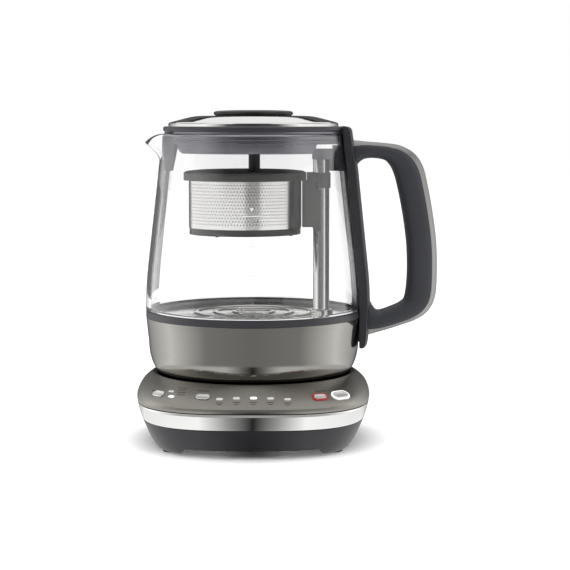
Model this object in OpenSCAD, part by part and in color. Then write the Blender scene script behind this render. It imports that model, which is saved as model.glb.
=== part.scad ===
// Automatic tea maker: a cordless glass jug with a motor-lifted tea basket, on a power base.
// Millimetres. The origin is on the table under the jug's axis, +X points to the handle,
// -Y to the control panel and +Z up.

/* [Power base] */
// Half width of the base at its shoulder
base_half_w = 84.3; // [82:0.1:95]
// Reach of the base from the jug's axis to the front
base_front = 91.8; // [88:0.1:105]
// Reach of the base from the jug's axis to the back
base_back = 85.4; // [82:0.1:100]
// How far the side draws in from the shoulder down to the feet
base_taper = 12.5; // [6:0.5:16]
// How far the front and back draw in down to the feet
base_front_taper = 7.8; // [4:0.2:12]
// Height of the shoulder, where the base is widest
shoulder_z = 36; // [34:0.5:42]
// Height of the base's top edge above the shoulder
panel_rise = 14.5; // [12:0.5:18]
// Inner radius of the top edge round the jug's seat
rim_r = 74; // [73.5:0.1:76]
// Wall of the lower housing
housing_wall = 2.4; // [1.8:0.1:3.2]
// Wall of the control panel
panel_wall = 2.2; // [1.6:0.1:2.6]
// Height of the polished trim band
band_h = 11.4; // [8:0.2:13]
// Thickness of the polished trim band
band_t = 1.4; // [0.8:0.1:2]
// Height of the hollow under the base, between its feet
arch_h = 6; // [4:0.5:7]
// Radius of a rubber foot
foot_r = 6.5; // [5:0.1:7]
// Height of a rubber foot
foot_h = 3.2; // [2.4:0.1:4]

/* [Controls] */
// How far a button stands above the panel
button_proud = 0.8; // [0.5:0.1:1.4]
// Travel of a button
button_travel = 0.6; // [0.3:0.05:0.7]
// Gap round a button in its hole
button_gap = 0.25; // [0.15:0.05:0.4]
// Pitch of the temperature lights
lens_pitch = 11.7; // [9:0.1:12.5]
// Number of temperature lights
lens_count = 5; // [3:1:5]
// Length of a light's lens
lens_l = 4.8; // [3:0.1:6]
// Width of a light's lens
lens_w = 2.2; // [1.4:0.1:3]
// Width of the light ring round the start and keep-warm buttons
ring_w = 1.1; // [0.8:0.1:1.6]

/* [Cord inlet] */
// Radius of the hole for the power cord
cord_hole_r = 3.7; // [3:0.1:4.5]
// Length of the cord gland
gland_l = 14; // [10:0.5:20]

/* [Jug] */
// Radius of the glass at its foot
glass_foot_r = 78.6; // [77.8:0.1:79.2]
// Thickness of the glass
glass_wall = 3; // [2:0.1:3.6]
// Inward slope of the glass, mm per mm of height
glass_taper = 0.116; // [0.1:0.002:0.125]
// Height of the glass rim above the table
rim_top_z = 223; // [221:0.5:230]
// Half angle that the spout takes of the rim
spout_half_angle = 27; // [20:1:32]
// Outward slope of the spout, mm per mm of height
spout_slope = 1.07; // [0.8:0.01:1.15]
// Fall of the spout's lip, mm per mm outwards
lip_fall = 0.54; // [0.2:0.02:0.8]
// Height of the collar's lower edge
collar_z = 90.3; // [88:0.1:92]
// Height of the collar
collar_h = 5.3; // [4:0.1:8]
// Thickness of the jug's metal shell
shell_wall = 1; // [0.6:0.1:1.5]
// Height of the seat that carries the jug
seat_z = 44; // [43:0.2:45]
// Distance from the edge of the jug's flat underside to the glass's outside
jug_foot_inset = 17; // [16.6:0.2:20]
// Thickness of the jug's steel floor
floor_t = 1.5; // [1:0.1:2.5]

/* [Lift post] */
// Distance of the post's axis from the glass at its foot
post_inset = 29.3; // [28.5:0.1:30]
// Radius of the post
post_r = 6; // [5.3:0.1:6.3]
// Wall of the post's tube
post_wall = 1; // [0.6:0.1:1.2]
// Depth of the post's top below the glass rim
post_depth = 18.4; // [18:0.2:20.4]
// Radius of the lead screw
screw_r = 2.2; // [1.8:0.1:2.6]
// Radial running clearance on the post and the screw
run_gap = 0.08; // [0.04:0.01:0.1]
// Height of the cap on the post
cap_h = 7.5; // [6:0.1:8]

/* [Tea basket] */
// Distance from the jug's axis to the basket's axis, away from the handle
basket_off = 6.2; // [5.5:0.1:7]
// Distance from the basket's steel wall to the post's axis
basket_gap = 14.5; // [14.3:0.1:17]
// Depth of the raised basket's underside below the glass rim
basket_depth = 72.5; // [70:0.5:75]
// Height of the perforated wall
basket_h = 33.5; // [28:0.5:34]
// Height of the basket's base ring
base_ring_h = 4.8; // [3:0.1:6]
// Thickness of the basket's steel
basket_t = 0.6; // [0.4:0.1:0.8]
// Width of the basket's rim beyond the wall
basket_lip = 3.6; // [3:0.1:4]
// Height of the basket's rim
basket_rim_h = 5.9; // [5:0.1:6.4]
// Radius of the stem on the basket's lid
stem_r = 4.2; // [3:0.1:5]
// Length of that stem
stem_l = 16.4; // [10:0.2:17]

/* [Jug lid] */
// How far the lid's edge stands inside the glass rim's outer edge
lid_inset = 0.5; // [0.2:0.1:1.2]
// Height of the lid's rim
lid_rim_h = 3.7; // [3:0.1:4.5]
// Width of the lid's rim round the steel dome
dome_inset = 3.8; // [2.8:0.1:7]
// Rise of the steel dome
dome_h = 7.7; // [6:0.1:9]
// Radius of the knob
knob_r = 28.8; // [22:0.1:34]
// Height of the knob
knob_h = 4; // [3:0.1:6]
// Depth of the lid's skirt below the glass rim
skirt_depth = 14; // [11:0.2:14.4]
// Gap between the skirt and the glass
skirt_gap = 2.4; // [2:0.1:3.8]
// Depth of the spout guard below the glass rim
guard_depth = 27; // [20:0.5:30]

/* [Handle] */
// Half angle of the spine round the glass
spine_half_angle = 14.5; // [11:0.5:18]
// Thickness of the spine
spine_t = 6.8; // [5:0.1:8]
// Half width of the handle
grip_half_w = 12.5; // [9:0.1:14]
// Share of the handle's depth taken by its outer trim
trim_share = 0.2; // [0.15:0.01:0.3]

/* [Hidden] */

// Colours
slate = "#4b4a50";
smoked = "#7f7d78";
black = "#1c1c1e";
steel = "#c9c9c6";
olive = "#5a5a56";

// Small sizes used in many places
eps = 0.01;
tight = 0.1;        // gap between pieces that are assembled and stay put
loose = 0.3;        // gap between pieces that move past each other
around = 60;        // points round the base

// ---- shape of the base: a rounded square that is a superellipse in plan ----
plan_power = 3;
foot_z = 1.8;
base_bottom_z = 1.2;
floor_top_z = arch_h + 2.5;
band_z = shoulder_z - 3.8 - band_h;
housing_top_z = band_z + band_h + 0.2;
rim_z = shoulder_z + panel_rise;

function plan_r(a, half_w, front, back) =
    let (half_d = sin(a) < 0 ? front : back)
    pow(pow(abs(cos(a)) / half_w, plan_power) + pow(abs(sin(a)) / half_d, plan_power),
        -1 / plan_power);
function shoulder_r(a) = plan_r(a, base_half_w, base_front, base_back);
function foot_plan_r(a) = plan_r(a, base_half_w - base_taper,
    base_front - base_front_taper, base_back - base_front_taper);
// Radius of the side between the feet and the shoulder
function side_r(a, z) =
    let (u = min(1, (z - foot_z) / (shoulder_z - foot_z)))
    foot_plan_r(a) + (shoulder_r(a) - foot_plan_r(a)) * (1 - pow(1 - u, 1.5));
// The panel is flat at the front and rounds over at the sides and the back
function round_power(a) = 2 - pow(max(0, -sin(a)), 3);
function panel_r(a, z) =
    let (t = min(1, max(0, (z - shoulder_z) / panel_rise)))
    rim_r + (shoulder_r(a) - rim_r) * (1 - pow(t, round_power(a)));
// Height of the panel's surface above a place on the table
function panel_z(x, y) =
    let (a = atan2(y, x), k = (norm([x, y]) - rim_r) / (shoulder_r(a) - rim_r))
    shoulder_z + panel_rise * pow(1 - min(1, max(0, k)), 1 / round_power(a));

function ring_at(z, radii) =
    [for (i = [0:around - 1]) [radii[i] * cos(360 * i / around), radii[i] * sin(360 * i / around), z]];
function side_ring(z, inset) =
    ring_at(z, [for (i = [0:around - 1]) side_r(360 * i / around, z) - inset]);
function panel_ring(z, inset, drop) =
    ring_at(z - drop, [for (i = [0:around - 1]) panel_r(360 * i / around, z) - inset]);

// A closed solid through rings of equally many points, from the lowest ring to the highest
module loft(rings) {
    n = len(rings[0]);
    last = len(rings) - 1;
    polyhedron(
        points = [for (r = rings) each r],
        faces = concat(
            [[for (i = [0:n - 1]) i]],
            [for (k = [0:last - 1], i = [0:n - 1])
                let (j = (i + 1) % n) [(k + 1) * n + i, (k + 1) * n + j, k * n + j]],
            [for (k = [0:last - 1], i = [0:n - 1])
                let (j = (i + 1) % n) [(k + 1) * n + i, k * n + j, k * n + i]],
            [[for (i = [n - 1:-1:0]) last * n + i]]),
        convexity = 6);
}

// A closed band through rings of equally many points: up the outside and down the inside
module band_loft(rings) {
    n = len(rings[0]);
    m = len(rings);
    polyhedron(
        points = [for (r = rings) each r],
        faces = concat(
            [for (k = [0:m - 1], i = [0:n - 1])
                let (j = (i + 1) % n, up = (k + 1) % m) [up * n + i, up * n + j, k * n + j]],
            [for (k = [0:m - 1], i = [0:n - 1])
                let (j = (i + 1) % n, up = (k + 1) % m) [up * n + i, k * n + j, k * n + i]]),
        convexity = 6);
}

// Moves its children to a place on the panel, with +Z along the panel's own normal
module at_panel(place) {
    x = place[0];
    y = place[1];
    d = 0.5;
    slope_x = (panel_z(x + d, y) - panel_z(x - d, y)) / (2 * d);
    slope_y = (panel_z(x, y + d) - panel_z(x, y - d)) / (2 * d);
    turn = atan2(-slope_y, -slope_x);
    tilt = atan(norm([slope_x, slope_y]));
    translate([x, y, panel_z(x, y)]) rotate([0, tilt, turn]) rotate([0, 0, 90]) children();
}

// A bar with round ends, from z_low to z_high
module stadium(length, width, z_low, z_high) {
    translate([0, 0, z_low]) linear_extrude(z_high - z_low) {
        square([length - width, width], center = true);
        for (side = [-1, 1]) translate([side * (length - width) / 2, 0]) circle(d = width, $fn = 32);
    }
}
module tube(r_out, r_in, h) {
    difference() {
        cylinder(r = r_out, h = h, $fn = 96);
        translate([0, 0, -1]) cylinder(r = r_in, h = h + 2, $fn = 96);
    }
}
module sector(r, half_angle, z_low, z_high) {
    translate([0, 0, z_low]) linear_extrude(z_high - z_low)
        polygon([[0, 0], for (a = [-half_angle, -half_angle / 2, 0, half_angle / 2, half_angle])
            r * [cos(a), sin(a)]]);
}
// ---- places of the controls on the panel: x, y, length, width ----
strength_at = [-65.2, -64.4];
tea_type_at = [-33.6, -80.4];
keep_warm_at = [47.1, -77.1];
start_at = [61.5, -68.4];
strength_size = [11, 5.6];
tea_type_size = [10.2, 5.6];
keep_warm_size = [9.4, 4.8];
start_size = [12.6, 6.2];
buttons = [[strength_at, strength_size], [tea_type_at, tea_type_size],
    [keep_warm_at, keep_warm_size], [start_at, start_size]];
lens_x0 = 1.3;
lens_y = -83.4;
lens_places = [for (i = [0:lens_count - 1]) [lens_x0 + (i - (lens_count - 1) / 2) * lens_pitch, lens_y]];
strength_lens_places = [[-56.3, -66.9], [-55.9, -73.1]];
lens_depth = 4;
lens_proud = 0.15;
// Depths below the panel's surface, along each button's own line of travel
flange_top = 3.2;
flange_h = 1;
flange_w = 0.8;
stem_end = 9.2;
button_stem_r = 2;
switch_top = stem_end + button_travel + loose;
plunger_h = 0.8;
switch_h = 1.6;
switch_w = 6;
mount_w = switch_w + 0.4;

module button(place, size) {
    intersection() {
        at_panel(place) stadium(size[0], size[1], -flange_top - flange_h, 6);
        translate([0, 0, button_proud]) panel_solid();
    }
    at_panel(place) {
        stadium(size[0] + 2 * flange_w, size[1] + 2 * flange_w, -flange_top - flange_h, -flange_top);
        translate([0, 0, -stem_end]) cylinder(r = button_stem_r, h = stem_end - flange_top, $fn = 32);
    }
}
module light_ring(place, size) {
    gap = 2 * button_gap;
    at_panel(place) difference() {
        stadium(size[0] + gap + 2 * ring_w, size[1] + gap + 2 * ring_w, -ring_seat, ring_proud);
        stadium(size[0] + gap, size[1] + gap, -ring_seat - 1, ring_proud + 1);
    }
}
ring_seat = 1.2;
ring_proud = 0.5;
ringed = [buttons[2], buttons[3]];

// ---- power base ----
screw_posts = [[-22.5, -74], [22.5, -74], [-40, 66], [40, 66]];
post_clear = 3.5;
base_screw_r = 1.6;
feet = [[-57, -52], [57, -52], [-57, 48], [57, 48]];
board_z = 26;
board_t = 1.6;
power_board_z = 12;
gland_z = 14.8;
gland_r = 5.2;
gland_flange_r = 6.2;
gland_out_y = base_back - base_front_taper + 5.6;

// The housing's cup: up the outside, in under the trim band, and down the inside to the floor
housing_rings = [side_ring(base_bottom_z, 2), side_ring(base_bottom_z + 2, 0.3),
    side_ring(8, 0), side_ring(14, 0), side_ring(band_z, 0), side_ring(band_z, band_t + tight),
    side_ring((band_z + housing_top_z) / 2, band_t + tight), side_ring(housing_top_z, band_t + tight),
    for (z = [housing_top_z, band_z, 14, floor_top_z]) side_ring(z, housing_wall + band_t)];
module base_housing() {
    color(slate) difference() {
        union() {
            loft(housing_rings);
            // posts under the two boards
            for (x = [-50, 0, 50]) translate([x, -66, floor_top_z - 1])
                cylinder(r = 3, h = board_z - floor_top_z + 1, $fn = 32);
            for (x = [-30, 30], y = [-25, 30]) translate([x, y, floor_top_z - 1])
                cylinder(r = 3, h = power_board_z - floor_top_z + 1, $fn = 32);
        }
        // hollow between the feet, both ways
        rotate([90, 0, 0]) linear_extrude(260, center = true)
            polygon([[-51, -1], [-51, base_bottom_z], [-46, arch_h], [46, arch_h],
                [51, base_bottom_z], [51, -1]]);
        rotate([90, 0, 90]) linear_extrude(260, center = true)
            polygon([[-44, -1], [-44, base_bottom_z], [-39, arch_h], [39, arch_h],
                [44, base_bottom_z], [44, -1]]);
        for (f = feet) translate([f[0], f[1], -1]) cylinder(r = foot_r + tight, h = foot_h + 1, $fn = 48);
        for (p = screw_posts) translate([p[0], p[1], -1])
            cylinder(r = base_screw_r + tight, h = 30, $fn = 32);
        translate([0, base_back - 30, gland_z]) rotate([-90, 0, 0])
            cylinder(r = gland_r + tight, h = 60, $fn = 64);
    }
}
module rubber_feet() {
    color(black) for (f = feet) translate([f[0], f[1], 0]) cylinder(r = foot_r, h = foot_h, $fn = 48);
}
module trim_band() {
    steps = 3;
    color(steel) band_loft([
        for (i = [0:steps]) side_ring(band_z + band_h * i / steps, 0),
        for (i = [steps:-1:0]) side_ring(band_z + band_h * i / steps, band_t)]);
}
module panel_solid() {
    lip = 0.6;
    loft([side_ring(housing_top_z + 0.2, lip), side_ring(housing_top_z + 1, 0), side_ring(shoulder_z - 1, 0),
        for (i = [0:6]) panel_ring(shoulder_z + panel_rise * (1 - pow(1 - i / 6, 1.3)), 0, 0)]);
}
module panel_inside() {
    loft([side_ring(housing_top_z - 1, 1.5 * panel_wall), side_ring(shoulder_z - panel_wall, panel_wall),
        for (i = [0:5]) panel_ring(shoulder_z + panel_rise * i / 5, 0.55 * panel_wall, panel_wall)]);
}
module control_panel() {
    color(smoked) difference() {
        union() {
            difference() {
                panel_solid();
                panel_inside();
            }
            intersection() {
                translate([0, 0, -0.5]) panel_solid();
                for (p = screw_posts) translate([p[0], p[1], floor_top_z])
                    cylinder(r = post_clear, h = 60, $fn = 48);
            }
            // the screw posts go on down to the housing's floor
            for (p = screw_posts) translate([p[0], p[1], floor_top_z])
                cylinder(r = post_clear, h = housing_top_z + 1 - floor_top_z, $fn = 48);
        }
        translate([0, 0, 20]) cylinder(r = dish_r + tight, h = 40, $fn = 120);
        for (p = screw_posts) translate([p[0], p[1], 0]) cylinder(r = base_screw_r, h = 30, $fn = 32);
        for (b = buttons) at_panel(b[0])
            stadium(b[1][0] + 2 * button_gap, b[1][1] + 2 * button_gap, -8, 6);
        for (b = ringed) at_panel(b[0])
            stadium(b[1][0] + 2 * (button_gap + ring_w + tight), b[1][1] + 2 * (button_gap + ring_w + tight),
                -ring_seat, 6);
        for (p = concat(lens_places, strength_lens_places)) at_panel(p)
            stadium(lens_l + 2 * tight, lens_w + 2 * tight, -8, 6);
    }
}
dish_r = rim_r - 1.2;
dish_top_z = rim_z - 0.5;
dish_floor_z = seat_z - 2;
dish_wall = 1.6;
seat_ring_r = 56;
connector_flange_r = 24;
module seat_dish() {
    color(black) rotate_extrude($fn = 120) polygon([
        [connector_flange_r - 6, dish_floor_z - dish_wall], [dish_r - 4, dish_floor_z - dish_wall],
        [dish_r, dish_top_z - 3], [dish_r, dish_top_z], [dish_r - dish_wall, dish_top_z],
        [dish_r - 4 - dish_wall, dish_floor_z], [seat_ring_r, dish_floor_z], [seat_ring_r, seat_z],
        [seat_ring_r - 6, seat_z], [seat_ring_r - 6, dish_floor_z], [connector_flange_r - 6, dish_floor_z]]);
}
spigot_r = 12.3;
spigot_top_z = seat_z + 10;
connector_z = seat_z - 14;
shroud_t = 2;
module base_connector() {
    color(black) difference() {
        union() {
            translate([0, 0, connector_z]) cylinder(r = connector_flange_r - 6 - tight, h = 12, $fn = 96);
            translate([0, 0, dish_floor_z - dish_wall - 3]) cylinder(r = connector_flange_r, h = 3, $fn = 96);
            translate([0, 0, connector_z + 1])
                cylinder(r = spigot_r, h = spigot_top_z - connector_z - 1, $fn = 96);
        }
        translate([0, 0, seat_z - 4]) cylinder(r = pin_r, h = 30, $fn = 32);
        translate([0, 0, spigot_top_z - 5]) tube(8, 6, 10);
    }
}
pin_r = 2.2;
pin_top_z = spigot_top_z + 4;
module connector_pin() {
    color("#b08d45") translate([0, 0, seat_z - 4]) cylinder(r = pin_r, h = pin_top_z - seat_z + 4, $fn = 32);
}
shroud_z = connector_z + 12 + loose;
module connector_shroud() {
    color("#2a2a2c") translate([0, 0, shroud_z])
        tube(spigot_r + run_gap + shroud_t, spigot_r + run_gap, spigot_top_z - shroud_z - 1);
}
board_outline = [[-62, -54], [-62, -66.5], [-54, -74], [-42, -80], [42, -80],
    [54, -74], [62, -66.5], [62, -54]];
module control_board() {
    color("#1f5a36") difference() {
        translate([0, 0, board_z]) linear_extrude(board_t) polygon(board_outline);
        for (p = screw_posts) translate([p[0], p[1], board_z - 1])
            cylinder(r = post_clear + 2 * tight, h = board_t + 2, $fn = 48);
    }
    color(black) translate([-14, -62, board_z + board_t]) cube([14, 7, 1.8]);
}
module switch_mounts() {
    color(olive) for (b = buttons) difference() {
        at_panel(b[0]) translate([0, 0, -switch_top - plunger_h - switch_h])
            intersection() {
                translate([-mount_w / 2, -mount_w / 2, -30]) cube([mount_w, mount_w, 30]);
                cylinder(r = 0.66 * mount_w, h = 100, center = true, $fn = 48);
            }
        translate([0, 0, board_z + board_t - 50]) cube([400, 400, 100], center = true);
    }
}
module tact_switches() {
    color("#303033") for (b = buttons) at_panel(b[0]) translate([0, 0, -switch_top]) {
        translate([0, 0, -plunger_h]) cylinder(r = 1.7, h = plunger_h, $fn = 32);
        translate([-switch_w / 2, -switch_w / 2, -plunger_h - switch_h]) cube([switch_w, switch_w, switch_h]);
    }
}
module power_board() {
    color("#1f5a36") translate([-42, -34, power_board_z]) cube([84, 72, board_t]);
    color("#d8d6cc") translate([-36, 8, power_board_z + board_t]) cube([26, 22, 12]);
    color(black) translate([4, 10, power_board_z + board_t]) cube([20, 16, 13]);
    color("#34506e") for (x = [-30, -16]) translate([x, -20, power_board_z + board_t])
        cylinder(r = 5, h = 11, $fn = 48);
}
module indicator_lenses() {
    color("#e8e8e6") for (p = concat(lens_places, strength_lens_places)) at_panel(p)
        stadium(lens_l, lens_w, -lens_depth, lens_proud);
}
module start_light_ring() {
    color("#f4f4f2") light_ring(start_at, start_size);
}
module keep_warm_light_ring() {
    color("#c02a26") light_ring(keep_warm_at, keep_warm_size);
}
module cord_gland() {
    color(black) translate([0, gland_out_y - gland_l, gland_z]) rotate([-90, 0, 0]) difference() {
        union() {
            cylinder(r = gland_r, h = gland_l, $fn = 64);
            cylinder(r = gland_flange_r, h = 2, $fn = 64);
        }
        translate([0, 0, -1]) cylinder(r = cord_hole_r, h = gland_l + 2, $fn = 64);
    }
}
module base_screws() {
    color(steel) for (p = screw_posts) translate([p[0], p[1], 0]) {
        translate([0, 0, arch_h - 1.8]) cylinder(r = 3, h = 1.8, $fn = 32);
        translate([0, 0, arch_h - 1]) cylinder(r = base_screw_r - 0.02, h = 18, $fn = 32);
    }
}
module strength_button() {
    color("#d5d5d2") button(strength_at, strength_size);
}
module tea_type_button() {
    color("#d5d5d2") button(tea_type_at, tea_type_size);
}
module keep_warm_button() {
    color("#d5d5d2") button(keep_warm_at, keep_warm_size);
}
module start_button() {
    color("#d5d5d2") button(start_at, start_size);
}

// ---- jug ----
bend_z = 98;
bend_h = 30;
collar_top_z = collar_z + collar_h;
foot_rebate = 1.4;
glass_bottom_z = collar_z + 2.1;
bend_drop = glass_taper * bend_h / 2;
// Outer radius of the glass: upright at the foot, bending into a straight cone
function glass_r(z) = z < bend_z ? glass_foot_r :
    z < bend_z + bend_h ? glass_foot_r - glass_taper * pow(z - bend_z, 2) / (2 * bend_h) :
    glass_foot_r - bend_drop - glass_taper * (z - bend_z - bend_h);
rim_r_out = glass_r(rim_top_z);
rim_r_in = rim_r_out - glass_wall;
lip_start_x = -rim_r_out - 1.7;
glass_steps = [bend_z, 104, 110, 116, 122, bend_z + bend_h];
module glass_profile(inset, z_low, z_high) {
    polygon([[0, z_low], [glass_foot_r - inset, z_low],
        for (z = glass_steps) [glass_r(z) - inset, z],
        [glass_r(z_high) - inset, z_high], [0, z_high]]);
}
spout_start_z = rim_top_z - 19.5;
spout_angles = [for (k = [-9:9]) k / 9];
// How far the spout reaches beyond the round wall at a height
function spout_reach(z) =
    let (h = z - spout_start_z) h < 4 ? h * h * spout_slope / 8 : (h - 2) * spout_slope;
// A smooth bulge: full at the spout's middle, nothing at its sides
function bulge(u) = pow(0.5 + 0.5 * cos(180 * u), 1.3);
function spout_ring(z, inset) = concat(
    [for (u = spout_angles) let (a = 180 + spout_half_angle * u,
        r = glass_r(z) - inset - 0.05 + spout_reach(z) * bulge(u)) [r * cos(a), r * sin(a), z]],
    [[-50, -15, z], [-50, 15, z]]);
module spout_solid(inset) {
    loft([for (h = [1, 2.5, 4, 6.5, 10, 14, 17, 20.5]) spout_ring(spout_start_z + h, inset)]);
}
module glass_body() {
    color("#e6eef2", 0.35) difference() {
        union() {
            rotate_extrude($fn = 160) difference() {
                glass_profile(0, glass_bottom_z, rim_top_z);
                translate([glass_foot_r - foot_rebate, glass_bottom_z - 1])
                    square([5, collar_top_z - glass_bottom_z + 1]);
            }
            spout_solid(0);
        }
        rotate_extrude($fn = 160) glass_profile(glass_wall, glass_bottom_z - 1, rim_top_z + 10);
        spout_solid(glass_wall);
        translate([-100, -60, rim_top_z]) cube([200, 120, 20]);
        rotate([90, 0, 0]) linear_extrude(120, center = true) polygon([[lip_start_x, rim_top_z],
            [lip_start_x - 30, rim_top_z - 30 * lip_fall], [lip_start_x - 30, rim_top_z + 20],
            [lip_start_x, rim_top_z + 20]]);
        translate([40, 0, neck_screw_z]) rotate([0, 90, 0]) cylinder(r = 2.6, h = 40, $fn = 32);
    }
}
neck_screw_z = rim_top_z - 23.5;
collar_t = foot_rebate - tight;
shell_top_r = glass_foot_r - 0.1;
collar_spigot_h = 2.4;
web_top_z = collar_z + 0.9;
module glass_collar() {
    spigot = shell_r(collar_z - collar_spigot_h) - shell_wall - tight;
    color(slate) rotate_extrude($fn = 160) polygon([
        [glass_foot_r - collar_t, web_top_z], [glass_foot_r - collar_t, collar_top_z],
        [glass_foot_r - 0.4, collar_top_z], [glass_foot_r, collar_top_z - 0.5], [glass_foot_r, collar_z],
        [spigot, collar_z], [spigot, collar_z - collar_spigot_h], [spigot - 1.4, collar_z - collar_spigot_h],
        [spigot - 1.4, collar_z - 2], [floor_r - 4, collar_z - 2], [floor_r - 4, collar_z - tight],
        [glass_foot_r - glass_wall, collar_z - tight], [glass_foot_r - glass_wall, web_top_z]]);
}
floor_r = glass_foot_r - glass_wall - 2.6;
floor_z = collar_z + 1.3;
module glass_seal() {
    glass_in = glass_foot_r - glass_wall;
    color("#3a3a3c") rotate_extrude($fn = 160) polygon([
        [floor_r - 3, collar_z], [glass_in - tight, collar_z], [glass_in - tight, web_top_z + tight],
        [glass_foot_r - collar_t - tight, web_top_z + tight],
        [glass_foot_r - collar_t - tight, glass_bottom_z],
        [glass_in - tight, glass_bottom_z],
        [glass_in - tight, floor_z + 3.5], [floor_r + tight, floor_z + 3.5],
        [floor_r + tight, floor_z - tight], [floor_r - 3, floor_z - tight]]);
}
shell_knee_z = 72;
shell_knee_r = glass_foot_r - 2;
jug_foot_r = glass_foot_r - jug_foot_inset;
shell_core_r = jug_foot_r - 1.6;
shell_depth = shell_knee_z - seat_z - 1;
shell_bottom_z = seat_z + 1.4;
// Outer radius of the metal shell: nearly upright above the knee, curving under below it
function shell_r(z) = z >= shell_knee_z
    ? shell_knee_r + (shell_top_r - shell_knee_r) * (z - shell_knee_z) / (collar_z - shell_knee_z)
    : shell_core_r + (shell_knee_r - shell_core_r) * sqrt(1 - pow((shell_knee_z - z) / shell_depth, 2));
shell_zs = [shell_bottom_z, for (a = [74, 66, 58, 48, 36, 24, 12, 0]) shell_knee_z - shell_depth * sin(a)];
module jug_shell() {
    color(smoked) difference() {
        rotate_extrude($fn = 160) polygon(concat(
            [for (z = shell_zs) [shell_r(z), z]],
            [[shell_r(collar_z), collar_z], [shell_r(collar_z) - shell_wall, collar_z]],
            [for (i = [len(shell_zs) - 1:-1:0]) [shell_r(shell_zs[i]) - shell_wall, shell_zs[i]]]));
        translate([60, 0, spine_screw_z]) rotate([0, 90, 0])
            cylinder(r = handle_screw_r + tight, h = 40, $fn = 32);
    }
}
sensor_at = [-9, 5];
module floor_plate() {
    color(steel) difference() {
        rotate_extrude($fn = 160) polygon([
            [0, floor_z], [floor_r, floor_z], [floor_r, floor_z + 3.2], [floor_r - 1, floor_z + 3.2],
            [floor_r - 1.6, floor_z + floor_t + 0.6], [floor_r - 5, floor_z + floor_t],
            [38, floor_z + floor_t], [37, floor_z + floor_t + 0.8], [34, floor_z + floor_t + 0.8],
            [33, floor_z + floor_t], [20, floor_z + floor_t], [19, floor_z + floor_t + 0.6],
            [0, floor_z + floor_t + 0.6]]);
        translate([post_x, 0, floor_z - 1]) cylinder(r = shaft_hole_r, h = 10, $fn = 48);
        translate([sensor_at[0], sensor_at[1], floor_z - 1]) cylinder(r = sensor_r + tight, h = 10, $fn = 32);
    }
}
shaft_hole_r = screw_r + 0.5;
sensor_r = 2.6;
floor_top = floor_z + floor_t;
element_ring_r = 31;
element_r = 3.3;
module heating_element() {
    color("#8f8f8c") rotate_extrude($fn = 120) {
        translate([element_ring_r, floor_z - 1.5 - element_r]) circle(r = element_r, $fn = 48);
        translate([18, floor_z - 1.6]) square([17.4, 1.6]);
    }
    color(steel) for (y = [-8, 8]) translate([-element_ring_r, y, floor_z - 18])
        cylinder(r = 1.6, h = 14, $fn = 24);
}
cover_hole_r = 20.6;
module jug_bottom_cover() {
    color(black) rotate_extrude($fn = 120) polygon([
        [cover_hole_r, seat_z], [jug_foot_r, seat_z], [jug_foot_r, seat_z + 2.4],
        [jug_foot_r + 1.2, seat_z + 2.4], [jug_foot_r + 1.2, seat_z + 4],
        [jug_foot_r - 1, seat_z + 4], [jug_foot_r - 1, seat_z + 2.4], [cover_hole_r, seat_z + 2.4]]);
}
socket_r = spigot_r + run_gap + shroud_t + loose;
socket_top_z = pin_top_z + 1;
module jug_connector() {
    color("#2a2a2c") difference() {
        union() {
            translate([0, 0, seat_z + 0.4])
                cylinder(r = cover_hole_r - tight, h = socket_top_z + 4 - seat_z, $fn = 96);
            translate([0, 0, seat_z + 2.4]) cylinder(r = cover_hole_r + 3, h = 2, $fn = 96);
        }
        translate([0, 0, seat_z]) cylinder(r = socket_r, h = spigot_top_z + 0.6 - seat_z, $fn = 96);
        cylinder(r = pin_r + loose, h = socket_top_z, $fn = 32);
    }
}
module temperature_sensor() {
    color(steel) translate([sensor_at[0], sensor_at[1], floor_z - 6]) {
        cylinder(r = sensor_r, h = 10, $fn = 32);
        cylinder(r = sensor_r + 2, h = 6, $fn = 32);
    }
}
coupler_r = 4;
coupler_l = 8;
coupler_top_z = floor_z - 2.2;
motor_r = 10;
motor_h = 24;
motor_top_z = coupler_top_z - coupler_l - loose;
module lift_motor() {
    color("#9a9a98") translate([post_x, 0, motor_top_z - motor_h]) difference() {
        cylinder(r = motor_r, h = motor_h, $fn = 64);
        translate([0, 0, motor_h - 8]) cylinder(r = 1.5 + run_gap, h = 9, $fn = 32);
    }
}
module motor_bracket() {
    wall = 2;
    color(olive) translate([post_x, 0, motor_top_z - 12]) difference() {
        union() {
            cylinder(r = motor_r + tight + wall, h = floor_z - motor_top_z + 12, $fn = 64);
            translate([0, 0, floor_z - motor_top_z + 10]) cylinder(r = motor_r + 3.2, h = 2, $fn = 64);
        }
        translate([0, 0, -1]) cylinder(r = motor_r + tight, h = 13, $fn = 64);
        translate([0, 0, 12 - eps]) cylinder(r = coupler_r + 1, h = 40, $fn = 64);
    }
}
post_foot_r = 8.5;
post_foot_h = 2;
module lift_post() {
    color(steel) translate([post_x, 0, floor_top]) difference() {
        union() {
            cylinder(r = post_r, h = post_top_z - floor_top, $fn = 64);
            cylinder(r = post_foot_r, h = post_foot_h, $fn = 64);
        }
        translate([0, 0, -1]) cylinder(r = post_r - post_wall, h = post_top_z, $fn = 64);
    }
}
post_x = glass_foot_r - post_inset;
post_top_z = rim_top_z - post_depth;
cap_left = post_x - post_r - 0.5;
cap_right = post_x + 8.6;
cap_half_w = 8;
cap_leg_x = post_x + post_r + 0.2;
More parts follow.
